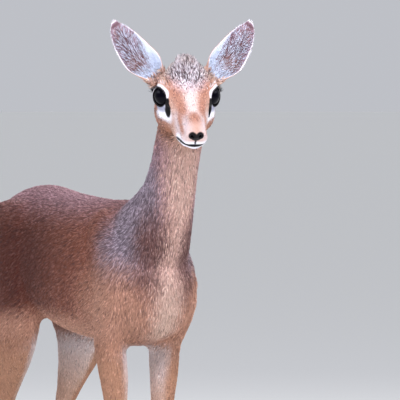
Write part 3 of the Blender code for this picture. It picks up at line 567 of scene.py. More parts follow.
def near_bridge(points):
    """1 where the brow runs into the muzzle, so that no fold stays between them."""
    return inside(to_head(points), (0.0, -36.0, 5.0), (13.0, 17.0, 9.0), 0.5)


# Rounds of smoothing for the body, the base of the neck, the face, its bridge and the join
BODY_ROUNDS = 14
NECK_ROUNDS = 60
FACE_ROUNDS = 9
BRIDGE_ROUNDS = 50
JOIN_ROUNDS = 16
NECK_SWELL = 0.42
BRIDGE_SWELL = 0.5

# Words in the names of solids that the skin isn't made from
OWN_PIECES = ("eye", "hoof", "ear_", "crest")


def make_skin():
    """One closed skin: the body, with a finer face joined on at the neck, and the ears' leaves."""
    flesh = [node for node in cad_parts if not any(word in node for word in OWN_PIECES)]
    body = remeshed(flesh, BODY_VOXEL, "body")
    relax(body, BODY_ROUNDS, lambda points: 0.35 + 0.65 * rise(points[:, 2], 235.0, 275.0))
    relax(body, NECK_ROUNDS, near_neck, NECK_SWELL)
    face = remeshed([node for node in flesh if node in ("head", "neck")], FINE_VOXEL, "face", True)
    relax(face, FACE_ROUNDS, lambda points: np.ones(len(points)))
    relax(face, BRIDGE_ROUNDS, near_bridge, BRIDGE_SWELL)
    bm = bmesh.new()
    bm.from_mesh(sides_of_cut(body, False))
    bm.from_mesh(sides_of_cut(face, True))
    skin = closed_mesh(bm, "skin")
    relax(skin, JOIN_ROUNDS, near_join)
    points = place_of(skin)
    points = points - normals_of(skin) * coat_depth(points)[:, None]
    put_points(skin, points)
    for side in (1, -1):
        skin = united(skin, ear_leaf(side, "ear"), "skin")
    return skin, flesh


def colour_attribute(mesh, name, colours):
    layer = mesh.color_attributes.new(name, "FLOAT_COLOR", "POINT")
    full = np.ones((len(colours), 4), np.float32)
    full[:, :3] = colours
    layer.data.foreach_set("color", full.ravel())


def float_attribute(mesh, name, values):
    layer = mesh.attributes.new(name, "FLOAT", "POINT")
    layer.data.foreach_set("value", values.astype(np.float32))


def finish_piece(thing, material, replaced=()):
    """Gives a piece its material and smooth shading, and says what it rides on and stands for."""
    thing.data.materials.clear()
    thing.data.materials.append(material)
    thing.data.polygons.foreach_set("use_smooth", np.ones(len(thing.data.polygons), bool))
    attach(thing, "root")
    if replaced:
        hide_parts(*replaced)


# Materials

def add_node(tree, kind, links=None, **settings):
    """One node with its settings and what comes into it."""
    node = tree.nodes.new(kind)
    for name, value in settings.items():
        setattr(node, name, value)
    for socket, value in (links or {}).items():
        if isinstance(value, bpy.types.NodeSocket):
            tree.links.new(value, node.inputs[socket])
        else:
            node.inputs[socket].default_value = value
    return node


def new_material(name, roughness, specular=0.5):
    made = bpy.data.materials.new(name)
    made.use_nodes = True
    shader = made.node_tree.nodes["Principled BSDF"]
    shader.inputs["Roughness"].default_value = roughness
    shader.inputs["Specular IOR Level"].default_value = specular
    return made, made.node_tree, shader


def skin_material():
    """Short-haired hide: dull where the coat lies on it, a little wet where it is bare and black."""
    made, tree, shader = new_material("hide_short_hair", 0.8, 0.12)
    paint = add_node(tree, "ShaderNodeVertexColor", layer_name="marking").outputs["Color"]
    bare = add_node(tree, "ShaderNodeAttribute", attribute_name="bare").outputs["Fac"]
    place = add_node(tree, "ShaderNodeTexCoord").outputs["Object"]
    grain = add_node(tree, "ShaderNodeTexNoise", {"Vector": place, "Scale": 900.0, "Detail": 3.0})
    grain = grain.outputs["Fac"]
    tone = add_node(tree, "ShaderNodeMapRange", {"Value": grain, "To Min": 0.72, "To Max": 1.18})
    both = {0: paint, 1: tone.outputs["Result"]}
    tinted = add_node(tree, "ShaderNodeVectorMath", both, operation="MULTIPLY")
    rough = add_node(tree, "ShaderNodeMapRange", {"Value": bare, "To Min": 0.85, "To Max": 0.42})
    pebbles = add_node(tree, "ShaderNodeTexVoronoi", {"Vector": place, "Scale": 1100.0})
    relief = {"Height": pebbles.outputs["Distance"], "Strength": 0.35, "Distance": 0.0004}
    bump = add_node(tree, "ShaderNodeBump", relief)
    tree.links.new(tinted.outputs["Vector"], shader.inputs["Base Color"])
    tree.links.new(rough.outputs["Result"], shader.inputs["Roughness"])
    tree.links.new(bump.outputs["Normal"], shader.inputs["Normal"])
    return made


def coat_material():
    """Animal hair: a soft gloss along each tuft, its colour carried by the tuft itself."""
    made, tree, shader = new_material("coat_hair", 0.65, 0.22)
    paint = add_node(tree, "ShaderNodeVertexColor", layer_name="hair")
    tree.links.new(paint.outputs["Color"], shader.inputs["Base Color"])
    return made


def plain_material(name, colour, roughness, specular=0.5):
    made, _, shader = new_material(name, roughness, specular)
    shader.inputs["Base Color"].default_value = (*linear(colour), 1.0)
    return made


# Coat

# A tuft is a closed spindle: its root, the left, right and ridge of its middle, and its tip
TUFT_FACES = np.array(((0, 1, 2), (0, 2, 3), (0, 3, 1), (4, 2, 1), (4, 3, 2), (4, 1, 3)))
TUFT_PATCH = np.array(((0.5, 0.0), (0.0, 0.45), (1.0, 0.45), (0.5, 0.45), (0.5, 1.0)))
PATCH_SIZE = 0.003
TUFT_RIDGE = 0.5
TUFT_MIDDLE = 0.42

# A root lies this deep in the skin, or this share of its tuft's length where that is less
ROOT_DEPTH = 0.4
ROOT_SHARE = 0.15


def jitter(count, amount):
    return draw.uniform(-amount, amount, count)


def tufts(name, roots, normals, start, end, lengths, widths, colours, unwrapped):
    """One mesh of many tufts: each leaves its root along start, bends, and ends along end."""
    count = len(roots)
    aside = unit(np.cross(start, normals))
    upward = unit(np.cross(aside, start))
    long = lengths[:, None]
    wide = widths[:, None] / 2.0
    base = roots - normals * np.minimum(ROOT_DEPTH, ROOT_SHARE * lengths)[:, None]
    middle = base + start * long * TUFT_MIDDLE
    tip = middle + end * long * (1.0 - TUFT_MIDDLE)
    half, ridge = aside * wide, upward * wide * TUFT_RIDGE
    corners = np.stack((base, middle - half, middle + half, middle + ridge, tip), axis=1)
    corners = (corners.reshape(-1, 3) + np.array(SHIFT)) * MM
    mesh = bpy.data.meshes.new(name)
    mesh.vertices.add(count * 5)
    mesh.vertices.foreach_set("co", corners.astype(np.float32).ravel())
    faces = (np.arange(count)[:, None, None] * 5 + TUFT_FACES[None]).ravel()
    mesh.loops.add(len(faces))
    mesh.loops.foreach_set("vertex_index", faces.astype(np.int32))
    mesh.polygons.add(len(faces) // 3)
    mesh.polygons.foreach_set("loop_start", np.arange(0, len(faces), 3, dtype=np.int32))
    mesh.update(calc_edges=True)
    layer = mesh.uv_layers.new(name="OFBake")
    patch = (TUFT_PATCH[TUFT_FACES.ravel()] - 0.5) * PATCH_SIZE
    places = (unwrapped[:, None, :] + patch[None]).reshape(-1, 2)
    layer.data.foreach_set("uv", np.clip(places, 0.0, 1.0).astype(np.float32).ravel())
    base_colour, middle_colour, tip_colour = colours
    paint = np.stack((base_colour,) + (middle_colour,) * 3 + (tip_colour,), axis=1)
    colour_attribute(mesh, "hair", paint.reshape(-1, 3))
    return add_object(name, mesh)


# Flecks of the coat: their size on the body, how much less on the head, the share of tufts that
# follow them, and the shares that are dark, and dark or pale, where all the hairs are grizzled
FLECK_SIZE = 1.5
FLECK_HEAD_LESS = 0.6
FLECK_SHARE = 0.6
DARK_SHARE = 0.4
DARK_OR_PALE_SHARE = 0.78

# How bright the root and the tip of a plain hair are, and the pale band of a grizzled one
ROOT_TONE = 0.6
TIP_TONE = 1.05
PALE_BAND = 1.45
PALE_BAND_HEAD_MORE = 0.45
PALE_BAND_FLOOR = 0.05
CELL_PRIMES = (73856093, 19349663, 83492791)
HASH_FACTOR = 2654435761
HASH_RANGE = 4294967296


def flecks(points, size):
    """A random share of 1 for each small clump of the coat, so that tufts side by side look alike."""
    cells = np.floor(points / size + draw.uniform(-0.3, 0.3, points.shape)).astype(np.int64)
    first, second, third = (cells[:, axis] * prime for axis, prime in enumerate(CELL_PRIMES))
    return (((first ^ second ^ third) * HASH_FACTOR) % HASH_RANGE) / HASH_RANGE


def hair_colours(paint, grizzle, roots, strength):
    """Root, middle and tip of each tuft: some are tipped dark, some banded pale, the rest plain."""
    count = len(paint)
    on_head = rise(strength, 0.7, 0.95)
    size = (FLECK_SIZE - FLECK_HEAD_LESS * on_head)[:, None]
    in_fleck = draw.uniform(0.0, 1.0, count) < FLECK_SHARE
    chance = np.where(in_fleck, flecks(roots, size), draw.uniform(0.0, 1.0, count))
    dark = chance < DARK_SHARE * grizzle
    pale = (chance >= DARK_SHARE * grizzle) & (chance < DARK_OR_PALE_SHARE * grizzle)
    tone = (1.0 + jitter(count, 0.15))[:, None]
    base = paint * ROOT_TONE * tone
    middle = paint * tone
    tip = paint * TIP_TONE * tone
    dark_hair = np.tile(COAT["dark hair"], (count, 1))
    brightness = (PALE_BAND + PALE_BAND_HEAD_MORE * on_head)[:, None]
    band = np.minimum(paint * brightness + PALE_BAND_FLOOR, COAT["white"])
    middle = mixed(middle, mixed(paint, dark_hair, 0.8 * strength), dark)
    tip = mixed(tip, mixed(paint, dark_hair, 0.92 * strength), dark)
    middle = mixed(middle, band, pale * 0.95)
    tip = mixed(tip, band, pale * 0.4)
    return base, middle, tip


# Size and phase of the streams that the coat wanders in, one for each direction
STREAMS = ((14.0, 0.4), (17.0, 2.1), (15.0, 4.2))


def lie_of_coat(points, normals):
    """The way the coat lies: from the nose back, down the neck and the legs, and back along the body."""
    head, neck, leg, _ = shares(points)
    ones = np.ones(len(points))
    flow = np.column_stack((0.0 * ones, ones, -0.12 - 0.5 * np.abs(normals[:, 0])))
    chest = rise(-normals[:, 1], 0.1, 0.7) * rise(-points[:, 1], 90.0, 130.0)
    down = np.tile((0.0, 0.25, -1.0), (len(points), 1))
    flow = mixed(flow, down, np.maximum(chest, neck))
    haunch = rise(points[:, 1], 90.0, 150.0) * rise(-points[:, 2], -330.0, -270.0)
    tail = inside(points, TAIL_MIDDLE, TAIL_COAT_RADII, 0.3)
    for backward, share in ((0.4, haunch), (0.1, leg), (0.35, tail)):
        flow = mixed(flow, np.tile((0.0, backward, -1.0), (len(points), 1)), share)

    local = to_head(points)
    climb = 0.35 * rise(local[:, 2], -4.0, 14.0) - 0.35 * rise(-local[:, 2], 8.0, 26.0)
    face = np.column_stack((0.012 * local[:, 0], ones, climb))
    from_line, along, across = eye_places(local)
    across[:, 0] *= np.where(local[:, 0] < 0, -1.0, 1.0)
    around = (1.0 - rise(from_line, 11.0, 18.0)) * rise(along, -6.0, 2.0)
    face = mixed(face, unit(across) * 0.8 + np.array((0.0, 0.5, 0.0)), around)
    fan = np.column_stack((0.05 * local[:, 0], 0.55 * ones, ones))
    face = mixed(face, fan, crest_share(points))
    flow = mixed(flow, face @ TURN.T, head)
    streams = np.column_stack([waves(points, *stream) for stream in STREAMS])
    flow = unit(flow) + streams * 0.16 + draw.normal(0.0, 0.07, flow.shape)
    return unit(flow - normals * np.sum(flow * normals, axis=1, keepdims=True))


# Length, width and layers of the tufts, in millimetres
BODY_TUFT = (7.0, 0.66, 1.6)
LEG_TUFT = (5.0, 0.60, 1.25)
FOOT_TUFT = (3.0, 0.48)
MUZZLE_TUFT = (2.0, 0.38, 2.2)
CHEEK_TUFT_MORE = (3.4, 0.24)
CREST_TUFT = (6.4, 0.5)
CREST_LAYERS_MORE = 1.2
SPECKLE_PLACE = ((0.0, 13.0, 25.0), (20.0, 26.0, 19.0))
SPECKLE_WIDTH_MORE = 0.14


def coat_sizes(points):
    """Length, width and how many layers of tufts lie on one another, in millimetres."""
    head, _, leg, foot = shares(points)
    local = to_head(points)
    back = rise(local[:, 1], -66.0, 20.0)
    crest = crest_share(points)
    sizes = []
    for index in (0, 1):
        size = BODY_TUFT[index] * (1.0 - leg) + LEG_TUFT[index] * leg
        size = size * (1.0 - foot) + FOOT_TUFT[index] * foot
        on_face = MUZZLE_TUFT[index] + CHEEK_TUFT_MORE[index] * back
        if index == 1:
            on_face = on_face + SPECKLE_WIDTH_MORE * inside(local, *SPECKLE_PLACE, 0.3)
        on_face = on_face * (1.0 - crest) + CREST_TUFT[index] * crest
        sizes.append(size * (1.0 - head) + on_face * head)
    layers = BODY_TUFT[2] * (1.0 - leg) + LEG_TUFT[2] * leg
    layers = layers * (1.0 - head) + (MUZZLE_TUFT[2] + CREST_LAYERS_MORE * crest) * head
    return (*sizes, layers)


# Boxes on the unwrap of the skin's own shape, for each length of the body wrapped round its axis
UNWRAP = {
    "torso": (0.01, 0.01, 0.53, 0.58),
    "head": (0.56, 0.01, 0.99, 0.33),
    "neck": (0.56, 0.36, 0.80, 0.53),
    "tail": (0.83, 0.36, 0.92, 0.46),
    "leg": [(left, 0.61, left + 0.11, 0.99) for left in (0.01, 0.13, 0.25, 0.37)],
    "ear": [(left, low, left + 0.11, low + 0.14) for low in (0.56, 0.73) for left in (0.56, 0.69)],
}


def in_box(box, around, along):
    left, low, right, high = box
    share = np.clip(np.column_stack((around, along)), 0.0, 1.0)
    return np.array((left, low)) + np.array((right - left, high - low)) * share


def turn_round(across, upward):
    return np.arctan2(across, upward) / math.tau + 0.5


def unwrap(points):
    """Where each point lies on the unwrap: round and along its own length of the body."""
    head, neck, leg, _ = shares(points)
    local = to_head(points)
    x, y, z = points.T
    tail = inside(points, TAIL_MIDDLE, TAIL_COAT_RADII, 0.05)
    slope = y + 150.0 + (z - 380.0) * 0.35
    lengths = [
        (np.ones(len(points)), UNWRAP["torso"], x, z - 315.0, (y + 172.0) / 385.0),
        (neck, UNWRAP["neck"], x, slope, (z - 300.0) / 180.0),
    ]
    for index, box in enumerate(UNWRAP["leg"]):
        fore = index < 2
        side = 1.0 if index % 2 else -1.0
        here = leg * ((y < 0.0) == fore) * (x * side > 0.0)
        middle = -95.0 if fore else 130.0
        lengths.append((here, box, x - side * 25.0, y - middle, z / 245.0))
    lengths.append((tail, UNWRAP["tail"], x, y - 214.0, (z - 310.0) / 55.0))
    lengths.append((head, UNWRAP["head"], local[:, 0], local[:, 2] + 8.0, (local[:, 1] + 76.0) / 126.0))
    made = np.zeros((len(points), 2))
    for share, box, across, upward, along in lengths:
        made = np.where((share > 0.5)[:, None], in_box(box, turn_round(across, upward), along), made)
    return made


# A slope of the skin near its join that no tuft grows from, because it would stick out
LEDGE_SLOPE = 0.45


def scatter(mesh, ear_tree):
    """Roots of the coat, spread over the skin as densely as the tufts there need."""
    mesh.calc_loop_triangles()
    corners = np.empty(len(mesh.loop_triangles) * 3, np.int32)
    mesh.loop_triangles.foreach_get("vertices", corners)
    corners = corners.reshape(-1, 3)
    points = place_of(mesh)
    normals = normals_of(mesh)
    first, second, third = (points[corners[:, index]] for index in range(3))
    area = np.linalg.norm(np.cross(second - first, third - first), axis=1) / 2.0
    middle = (first + second + third) / 3.0
    length, width, layers = coat_sizes(middle)
    wanted = area * layers / (0.5 * length * width)
    wanted *= 1.0 - rise(bare_places(middle, 0.4), 0.2, 0.6)
    wanted[ear_share(middle, ear_tree) > 0.5] = 0.0
    total = int(wanted.sum())
    heap = np.cumsum(wanted)
    picks = (np.arange(total) + draw.uniform(0.0, 1.0, total)) / total * heap[-1]
    chosen = np.minimum(np.searchsorted(heap, picks), len(heap) - 1)
    a = np.sqrt(draw.uniform(0.0, 1.0, total))[:, None]
    b = draw.uniform(0.0, 1.0, total)[:, None]
    weights = (1.0 - a, a * (1.0 - b), a * b)
    roots = sum(points[corners[chosen, index]] * weights[index] for index in range(3))
    lifts = unit(sum(normals[corners[chosen, index]] * weights[index] for index in range(3)))
    ledge = (near_join(roots) > 0.0) & (np.abs(lifts[:, 2]) > LEDGE_SLOPE)
    return roots[~ledge], lifts[~ledge]


def ear_samples():
    """Places all over both ears, to tell which points of the skin belong to them."""
    across, along = np.meshgrid(np.linspace(-1, 1, 41), np.linspace(0.12, 1, 60))
    across, along = across.ravel(), along.ravel()
    tree = KDTree(len(across) * 4)
    facts = []
    for side in (1, -1):
        for inner in (0, 1):
            inset = EAR_BACK_INSET + inner * ear_wall(along)
            spots, _ = ear_points(side, across, along, inset)
            for spot, u, v in zip(spots, across, along):
                tree.insert(spot, len(facts))
                facts.append((side, inner, u, v))
    tree.balance()
    return tree, np.array(facts)


# The corner of the head's own box, and the height, past which a point can be on an ear
EAR_ZONE = (8.0, 8.0, -6.0)
EAR_ZONE_HEIGHT = 470.0


def near_ears(points):
    """Only these can be on an ear: it spares the search elsewhere."""
    beyond = mirrored(to_head(points)) > np.array(EAR_ZONE)
    return beyond.all(axis=1) & (points[:, 2] > EAR_ZONE_HEIGHT)


def ear_share(points, tree):
    share = np.zeros(len(points))
    for index in np.flatnonzero(near_ears(points)):
        _, _, distance = tree.find(points[index])
        share[index] = 1.0 - min(max((distance - 0.9) / 0.8, 0.0), 1.0)
    return share


def ear_facts(points, tree, facts):
    found = np.zeros((len(points), 4))
    for index in np.flatnonzero(near_ears(points)):
        found[index] = facts[tree.find(points[index])[1]]
    return found


def ear_border(across, along):
    """1 on the dark line that runs inside the ear's pale rim, on its outer and upper sides."""
    outer = rise(across, 0.80, 0.86) * (1.0 - rise(across, 0.93, 0.96))
    tip = rise(along, 0.89, 0.92) * (1.0 - rise(along, 0.96, 0.975))
    tip *= 1.0 - rise(np.abs(across), 0.93, 0.96)
    return np.maximum(outer, tip) * rise(along, 0.2, 0.3)


def ear_rim(across, along):
    """1 on the thin white hairs of the ear's very edge."""
    return np.maximum(rise(np.abs(across), 0.93, 0.96), rise(along, 0.97, 0.985))


def ear_margin(across, along):
    """1 on the white hairs inside the ear's inner edge: a wedge that narrows towards the tip."""
    edge = 0.05 + 0.95 * along
    return rise(-across, edge, edge + 0.3) * (1.0 - rise(along, 0.7, 0.9))


# Patches of the ear's front: middle and radii, across and along it
EAR_HOLLOW = ((0.15, 0.55, 0.0), (0.45, 0.42, 1.0))
EAR_STREAK = ((0.25, 0.34, 0.0), (0.5, 0.1, 1.0))


def ear_paint(inner, across, along):
    """Colours of an ear: tan behind; pinkish in front with a white inner margin and a dark outer line."""
    count = len(across)
    back = mixed(np.tile(COAT["face tan"], (count, 1)), COAT["tan"], rise(along, 0.3, 0.9) * 0.6)
    front = np.tile(COAT["ear skin"], (count, 1))
    places = np.column_stack((across, along, np.zeros(count)))
    hollow = inside(places, *EAR_HOLLOW, 0.5)
    front = mixed(front, COAT["dark ear"], 0.55 * hollow)
    front = mixed(front, COAT["dark ear"], 0.7 * ear_border(across, along))
    streak = inside(places, *EAR_STREAK, 0.5)
    front = mixed(front, COAT["orange"], 0.45 * streak)
    front = mixed(front, COAT["ear white"], 0.9 * ear_margin(across, along))
    front = mixed(front, COAT["ear white"], 0.9 * (1.0 - rise(along, 0.14, 0.26)))
    front = mixed(front, COAT["white"], ear_rim(across, along))
    return mixed(back, front, inner)


# The two coats of an ear: 0 behind or 1 in front, count of tufts, their length and width
EAR_COATS = ((0.0, 8000, 3.4, 0.42), (1.0, 13000, 6.4, 0.3))
EAR_STEP = 0.01

# Radius times half angle from which every tuft is kept
EAR_FULL_WIDTH = 1435.0


def ear_coat(side, name):
    """Short fur behind each ear, and in front long pale hairs that spread from its middle."""
    pieces = []
    for inner, count, length, width in EAR_COATS:
        across = draw.uniform(-1.0, 1.0, count)
        along = draw.uniform(0.08, 1.0, count)
        _, radius, half, _ = ear_section(along)
        keep = draw.uniform(0.0, 1.0, count) < (radius * half) / EAR_FULL_WIDTH
        across, along = across[keep], along[keep]
        kept = len(across)
        inset = EAR_BACK_INSET + inner * ear_wall(along)
        roots, outward = ear_points(side, across, along, inset)
        normals = outward * (1.0 - 2.0 * inner)
        ahead, _ = ear_points(side, across, along + EAR_STEP, inset)
        beside, _ = ear_points(side, across + EAR_STEP, along, inset)
        lengthwise, crosswise = unit(ahead - roots), unit(beside - roots)
        paint = ear_paint(np.full(kept, inner), across, along)
        if inner:
            margin = ear_margin(across, along)
            lean = across * 1.1 * (1.0 - margin) + 1.3 * margin
            flow = unit(lengthwise * (0.75 - 0.3 * margin)[:, None] + crosswise * lean[:, None])
            share = np.clip(0.36 + 0.6 * margin + 0.6 * (1.0 - rise(along, 0.16, 0.3)), 0.0, 1.0)
            chance = draw.uniform(0.0, 1.0, kept)
            border = ear_border(across, along)
            rim = ear_rim(across, along)
            pale = (chance < share) & (border < 0.5)
            dark = (((chance > 0.72) & (margin < 0.5)) | (border > 0.5)) & (rim < 0.5)
            middle = mixed(paint, COAT["ear white"], 0.9 * pale * (1.0 - rim))
            middle = mixed(middle, COAT["dark ear"], 0.75 * dark)
            colours = (paint * 0.9, middle, mixed(middle, COAT["ear white"], 0.5 * pale))
            lengths = length * (1.0 + 0.7 * margin) * (1.0 + jitter(kept, 0.3))
            lengths *= 1.0 - 0.45 * rise(along, 0.6, 1.0)
            lift = 0.14 + 0.18 * margin
        else:
            flow = unit(lengthwise + crosswise * (across * 0.35)[:, None])
            colours = hair_colours(paint, np.full(kept, 0.5), roots, np.full(kept, 0.75))
            lengths = length * (1.0 + jitter(kept, 0.25)) * (1.0 - 0.4 * rise(along, 0.7, 1.0))
            lift = np.full(kept, 0.16)
        lengths *= 1.0 - 0.78 * np.maximum(rise(np.abs(across), 0.55, 0.9), rise(along, 0.82, 0.95))
        flow = unit(flow + draw.normal(0.0, 0.08, flow.shape))
        start = unit(flow + normals * lift[:, None])
        end = unit(flow - normals * 0.03)
        box = UNWRAP["ear"][(0 if side > 0 else 2) + int(inner)]
        piece = f"{name}_{'front' if inner else 'back'}"
        widths = width * (1.0 + jitter(kept, 0.2))
        places = in_box(box, (across + 1.0) / 2.0, along)
        pieces.append(tufts(piece, roots, normals, start, end, lengths, widths, colours, places))
    return pieces


# The most tufts in one piece of the coat: six triangles each keep it under 200,000
COAT_LIMIT = 32000


def body_coat(roots, normals, material):
    """The coat of the body and head, in pieces that each stay small enough to export."""
    head, neck, leg, _ = shares(roots)
    crest = crest_share(roots)
    zones = {
        "coat_crest": crest > 0.4,
        "coat_head": (head > 0.5) & (crest <= 0.4),
        "coat_neck": (neck > 0.5) & (head <= 0.5),
        "coat_forelegs": (leg > 0.5) & (roots[:, 1] < 0.0),
        "coat_hind_legs": (leg > 0.5) & (roots[:, 1] >= 0.0),
    }
    rest = ~np.any(list(zones.values()), axis=0)
    zones["coat_shoulders"] = rest & (roots[:, 1] < -50.0)
    zones["coat_ribs"] = rest & (roots[:, 1] >= -50.0) & (roots[:, 1] < 70.0)
    zones["coat_haunches"] = rest & (roots[:, 1] >= 70.0)
    flow = lie_of_coat(roots, normals)
    length, width, _ = coat_sizes(roots)
    depth = coat_depth(roots)
    blurred = roots + draw.normal(0.0, 1.0, roots.shape) * (0.9 + 2.6 * (1.0 - head))[:, None]
    paint, grizzle = markings(blurred, normals)
    strength = 0.66 + 0.34 * head
    places = unwrap(roots)
    length = length * (1.0 + jitter(len(roots), 0.28))
    length *= 1.0 - 0.66 * bare_places(roots, 2.0) * head
    width = width * (1.0 + jitter(len(roots), 0.25))
    rising = np.clip(0.95 * depth / (length / 2.0), 0.08, 0.4) * (1.0 + jitter(len(roots), 0.3))
    rising = rising * (1.0 - crest) + 1.1 * crest
    start = unit(flow + normals * rising[:, None])
    lean = jitter(len(roots), 0.09) - 0.03 + 0.5 * crest
    end = unit(flow + normals * lean[:, None])
    for zone, chosen in zones.items():
        members = np.flatnonzero(chosen)
        parts = max(1, math.ceil(len(members) / COAT_LIMIT))
        order = members[np.argsort(roots[members, 1], kind="stable")]
        for number, share in enumerate(np.array_split(order, parts)):
            name = zone if parts == 1 else f"{zone}_{number + 1}"
            colours = hair_colours(paint[share], grizzle[share], roots[share], strength[share])
            rows = [values[share] for values in (roots, normals, start, end, length, width)]
            piece = tufts(name, *rows, colours, places[share])
            finish_piece(piece, material, ("crest",) if zone == "coat_crest" else ())


LASH_COUNT = 90
LASH_START = math.radians(40.0)
LASH_END = math.radians(182.0)
LASH_LENGTH = 4.4
LASH_WIDTH = 0.45


def lashes(side, name):
    """Dark lashes along the upper lid, longest towards its back corner."""
    angle = np.linspace(LASH_START, LASH_END, LASH_COUNT) + jitter(LASH_COUNT, 0.05)
    back = (angle - LASH_START) / (LASH_END - LASH_START)
    aim = np.array(EYE_AIM) * (side, 1.0, 1.0)
    fore = unit(np.array((0.0, -1.0, 0.0)) + aim * aim[1])
    above = unit(np.array((0.0, 0.0, 1.0)) - aim * aim[2])
    above = unit(above - fore * (above @ fore))
    ahead = np.cos(angle) * (LID_HALF_LENGTH + 0.2)
    upward = np.sin(angle) * (LID_HALF_HEIGHT + 0.2)
    reach = EYE_RADIUS + 0.5
    deep = np.sqrt(reach ** 2 - ahead ** 2 - upward ** 2)
    centre = np.array(EYE_CENTRE) * (side, 1.0, 1.0)
    outward = fore * ahead[:, None] + above * upward[:, None]
    roots = centre + outward + aim * deep[:, None]
    normals = unit(outward + aim * deep[:, None])
    outward = unit(outward)
    start = unit(outward * 0.7 + aim * 0.75 + draw.normal(0.0, 0.06, roots.shape))
    end = unit(outward + aim * 0.25 - fore * 0.3 + draw.normal(0.0, 0.06, roots.shape))
    colours = (np.tile(COAT["nose"], (LASH_COUNT, 1)),) * 3
    lengths = LASH_LENGTH * (0.6 + 0.8 * back ** 2) * (1.0 + jitter(LASH_COUNT, 0.2))
    widths = np.full(LASH_COUNT, LASH_WIDTH)
    roots = from_head(roots)
    normals, start, end = (way @ TURN.T for way in (normals, start, end))
    return tufts(name, roots, normals, start, end, lengths, widths, colours, unwrap(roots))


# Eyes

EYE_GAP = 0.05


def make_eye(side, word, material):
    """A whole ball, as deep as a real eye, in the hollow of the lids."""
    bm = bmesh.new()
    centre = Vector((EYE_CENTRE.x * side, EYE_CENTRE.y, EYE_CENTRE.z))
    bmesh.ops.create_uvsphere(bm, u_segments=64, v_segments=40, radius=EYE_RADIUS - EYE_GAP)
    place = TO_SCENE @ HEAD_TURN @ Matrix.Translation(centre)
    bmesh.ops.transform(bm, matrix=place, verts=bm.verts)
    name = f"eyeball_{word}"
    piece = add_object(name, mesh_from(bm, name))
    finish_piece(piece, material, (f"eye_{word}",))


# Camera and light

CAMERA_AZIMUTH = math.radians(-26.0)
CAMERA_ELEVATION = math.radians(0.5)
CAMERA_DISTANCE = 5.0
PIXELS_A_METRE = 1080.0
EYES_PIXEL = (187.0, 95.6)
FRAME_PIXELS = 400.0
SENSOR_WIDTH = 36.0
CAMERA_REACH = 200.0


def aimed(name, data, place, aim):
    """A camera or a light at a place, turned to look at its aim."""
    thing = add_object(name, data)
    thing.location = place
    thing.rotation_euler = (aim - place).to_track_quat("-Z", "Y").to_euler()
    return thing


def add_camera():
    """The photo's framing, from the side and height that the photo was taken."""
    sine, cosine = math.sin(CAMERA_AZIMUTH), math.cos(CAMERA_AZIMUTH)
    level = math.cos(CAMERA_ELEVATION)
    out = Vector((sine * level, -cosine * level, math.sin(CAMERA_ELEVATION)))
    right = Vector((cosine, sine, 0.0))
    up = out.cross(right)
    aside = (FRAME_PIXELS / 2.0 - EYES_PIXEL[0]) / PIXELS_A_METRE
    drop = (FRAME_PIXELS / 2.0 - EYES_PIXEL[1]) / PIXELS_A_METRE
    place = EYES_MIDDLE + out * CAMERA_DISTANCE
    aim = EYES_MIDDLE + right * aside - up * drop
    camera = bpy.data.cameras.new("camera")
    camera.lens = PIXELS_A_METRE * CAMERA_DISTANCE / FRAME_PIXELS * SENSOR_WIDTH
    camera.sensor_width = SENSOR_WIDTH
    camera.clip_end = CAMERA_REACH
    bpy.context.scene.camera = aimed("camera", camera, place, aim)
    return right, up, out


BREAST_DROP = 0.12

# Lights: name, drop of the aim below the eyes, metres out, right and up, size, power and colour
LIGHTS = (
    ("key", BREAST_DROP, (1.5, 0.2, 1.5), (2.4, 0.7), 40.0, (0.97, 0.97, 1.0)),
    ("catch", 0.0, (1.5, 0.0, 1.0), (1.8, 0.3), 24.0, (0.76, 0.74, 1.0)),
    ("side_right", 0.0, (0.1, 1.6, 0.8), (1.1, 0.45), 8.0, (0.84, 0.84, 1.0)),
    ("side_left", 0.0, (0.1, -1.6, 0.8), (1.1, 0.45), 8.0, (0.84, 0.84, 1.0)),
    ("rim", BREAST_DROP, (-1.6, 0.4, 1.7), (1.2, 1.2), 26.0, (1.0, 0.98, 0.95)),
)


def add_lights(right, up, out):
    for name, drop, (outward, aside, upward), size, power, colour in LIGHTS:
        aim = EYES_MIDDLE - Vector((0.0, 0.0, drop))
        place = aim + out * outward + right * aside + up * upward
        light = bpy.data.lights.new(name, "AREA")
        light.shape = "RECTANGLE"
        light.size, light.size_y = size
        light.energy = power
        light.color = colour
        aimed(name, light, place, aim)


# The little light that the floor gives off by itself, so that no horizon shows behind the animal
FLOOR_GLOW = 0.04
FLOOR_RADIUS = 40.0
SKY_COLOUR = (0.78, 0.80, 0.86, 1.0)
SKY_STRENGTH = 0.66


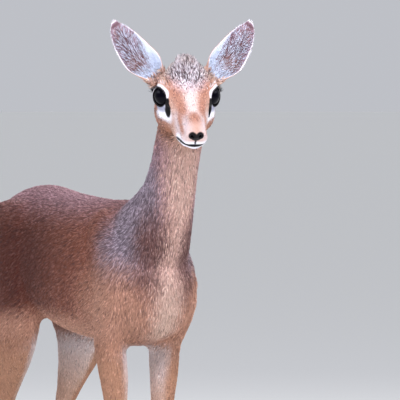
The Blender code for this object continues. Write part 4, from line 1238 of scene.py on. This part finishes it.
def add_stage():
    """A pale floor and an even sky, seen without the usual film-like tone curve."""
    bm = bmesh.new()
    bmesh.ops.create_circle(bm, cap_ends=True, segments=96, radius=FLOOR_RADIUS)
    floor = add_object("floor", mesh_from(bm, "floor"))
    pale = plain_material("pale_floor", "#f6f6f4", 0.95, 0.1)
    shader = pale.node_tree.nodes["Principled BSDF"]
    shader.inputs["Emission Color"].default_value = (1.0, 1.0, 1.0, 1.0)
    shader.inputs["Emission Strength"].default_value = FLOOR_GLOW
    floor.data.materials.append(pale)
    world = bpy.data.worlds.new("studio")
    world.use_nodes = True
    sky = world.node_tree.nodes["Background"]
    sky.inputs["Color"].default_value = SKY_COLOUR
    sky.inputs["Strength"].default_value = SKY_STRENGTH
    bpy.context.scene.world = world
    bpy.context.scene.view_settings.view_transform = "Standard"


SIDES = ((1, "left"), (-1, "right"))


def main():
    add_lights(*add_camera())
    add_stage()

    skin, flesh = make_skin()
    points, normals = place_of(skin), normals_of(skin)
    ear_tree, facts = ear_samples()
    roots, lifts = scatter(skin, ear_tree)
    paint, _ = markings(points, normals)
    bare = bare_places(points)
    ears = ear_share(points, ear_tree)
    found = ear_facts(points, ear_tree, facts)
    # The skin takes the coat's colour at nine tenths: painted shade of the coat lying on it
    paint = mixed(paint * 0.9, ear_paint(found[:, 1], found[:, 2], found[:, 3]), ears)
    paint = mixed(paint, COAT["nose"], bare)
    colour_attribute(skin, "marking", paint)
    float_attribute(skin, "bare", bare)
    skin.transform(TO_SCENE)
    piece = add_object("skin", skin)
    finish_piece(piece, skin_material(), [*flesh, "ear_left", "ear_right"])

    hair = coat_material()
    body_coat(roots, lifts, hair)
    for side, word in SIDES:
        for coat in ear_coat(side, f"coat_ear_{word}"):
            finish_piece(coat, hair)
        finish_piece(lashes(side, f"lashes_{word}"), hair)

    # Nearly black eye; its faint blue tint is a painted reflection of the sky
    eye = plain_material("eye_wet_dark", "#020108", 0.05, 0.07)
    for side, word in SIDES:
        make_eye(side, word, eye)
    horn = plain_material("hoof_horn", "#1c1614", 0.38, 0.5)
    for name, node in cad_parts.items():
        if "hoof" in name:
            node.data.materials.clear()
            node.data.materials.append(horn)


main()
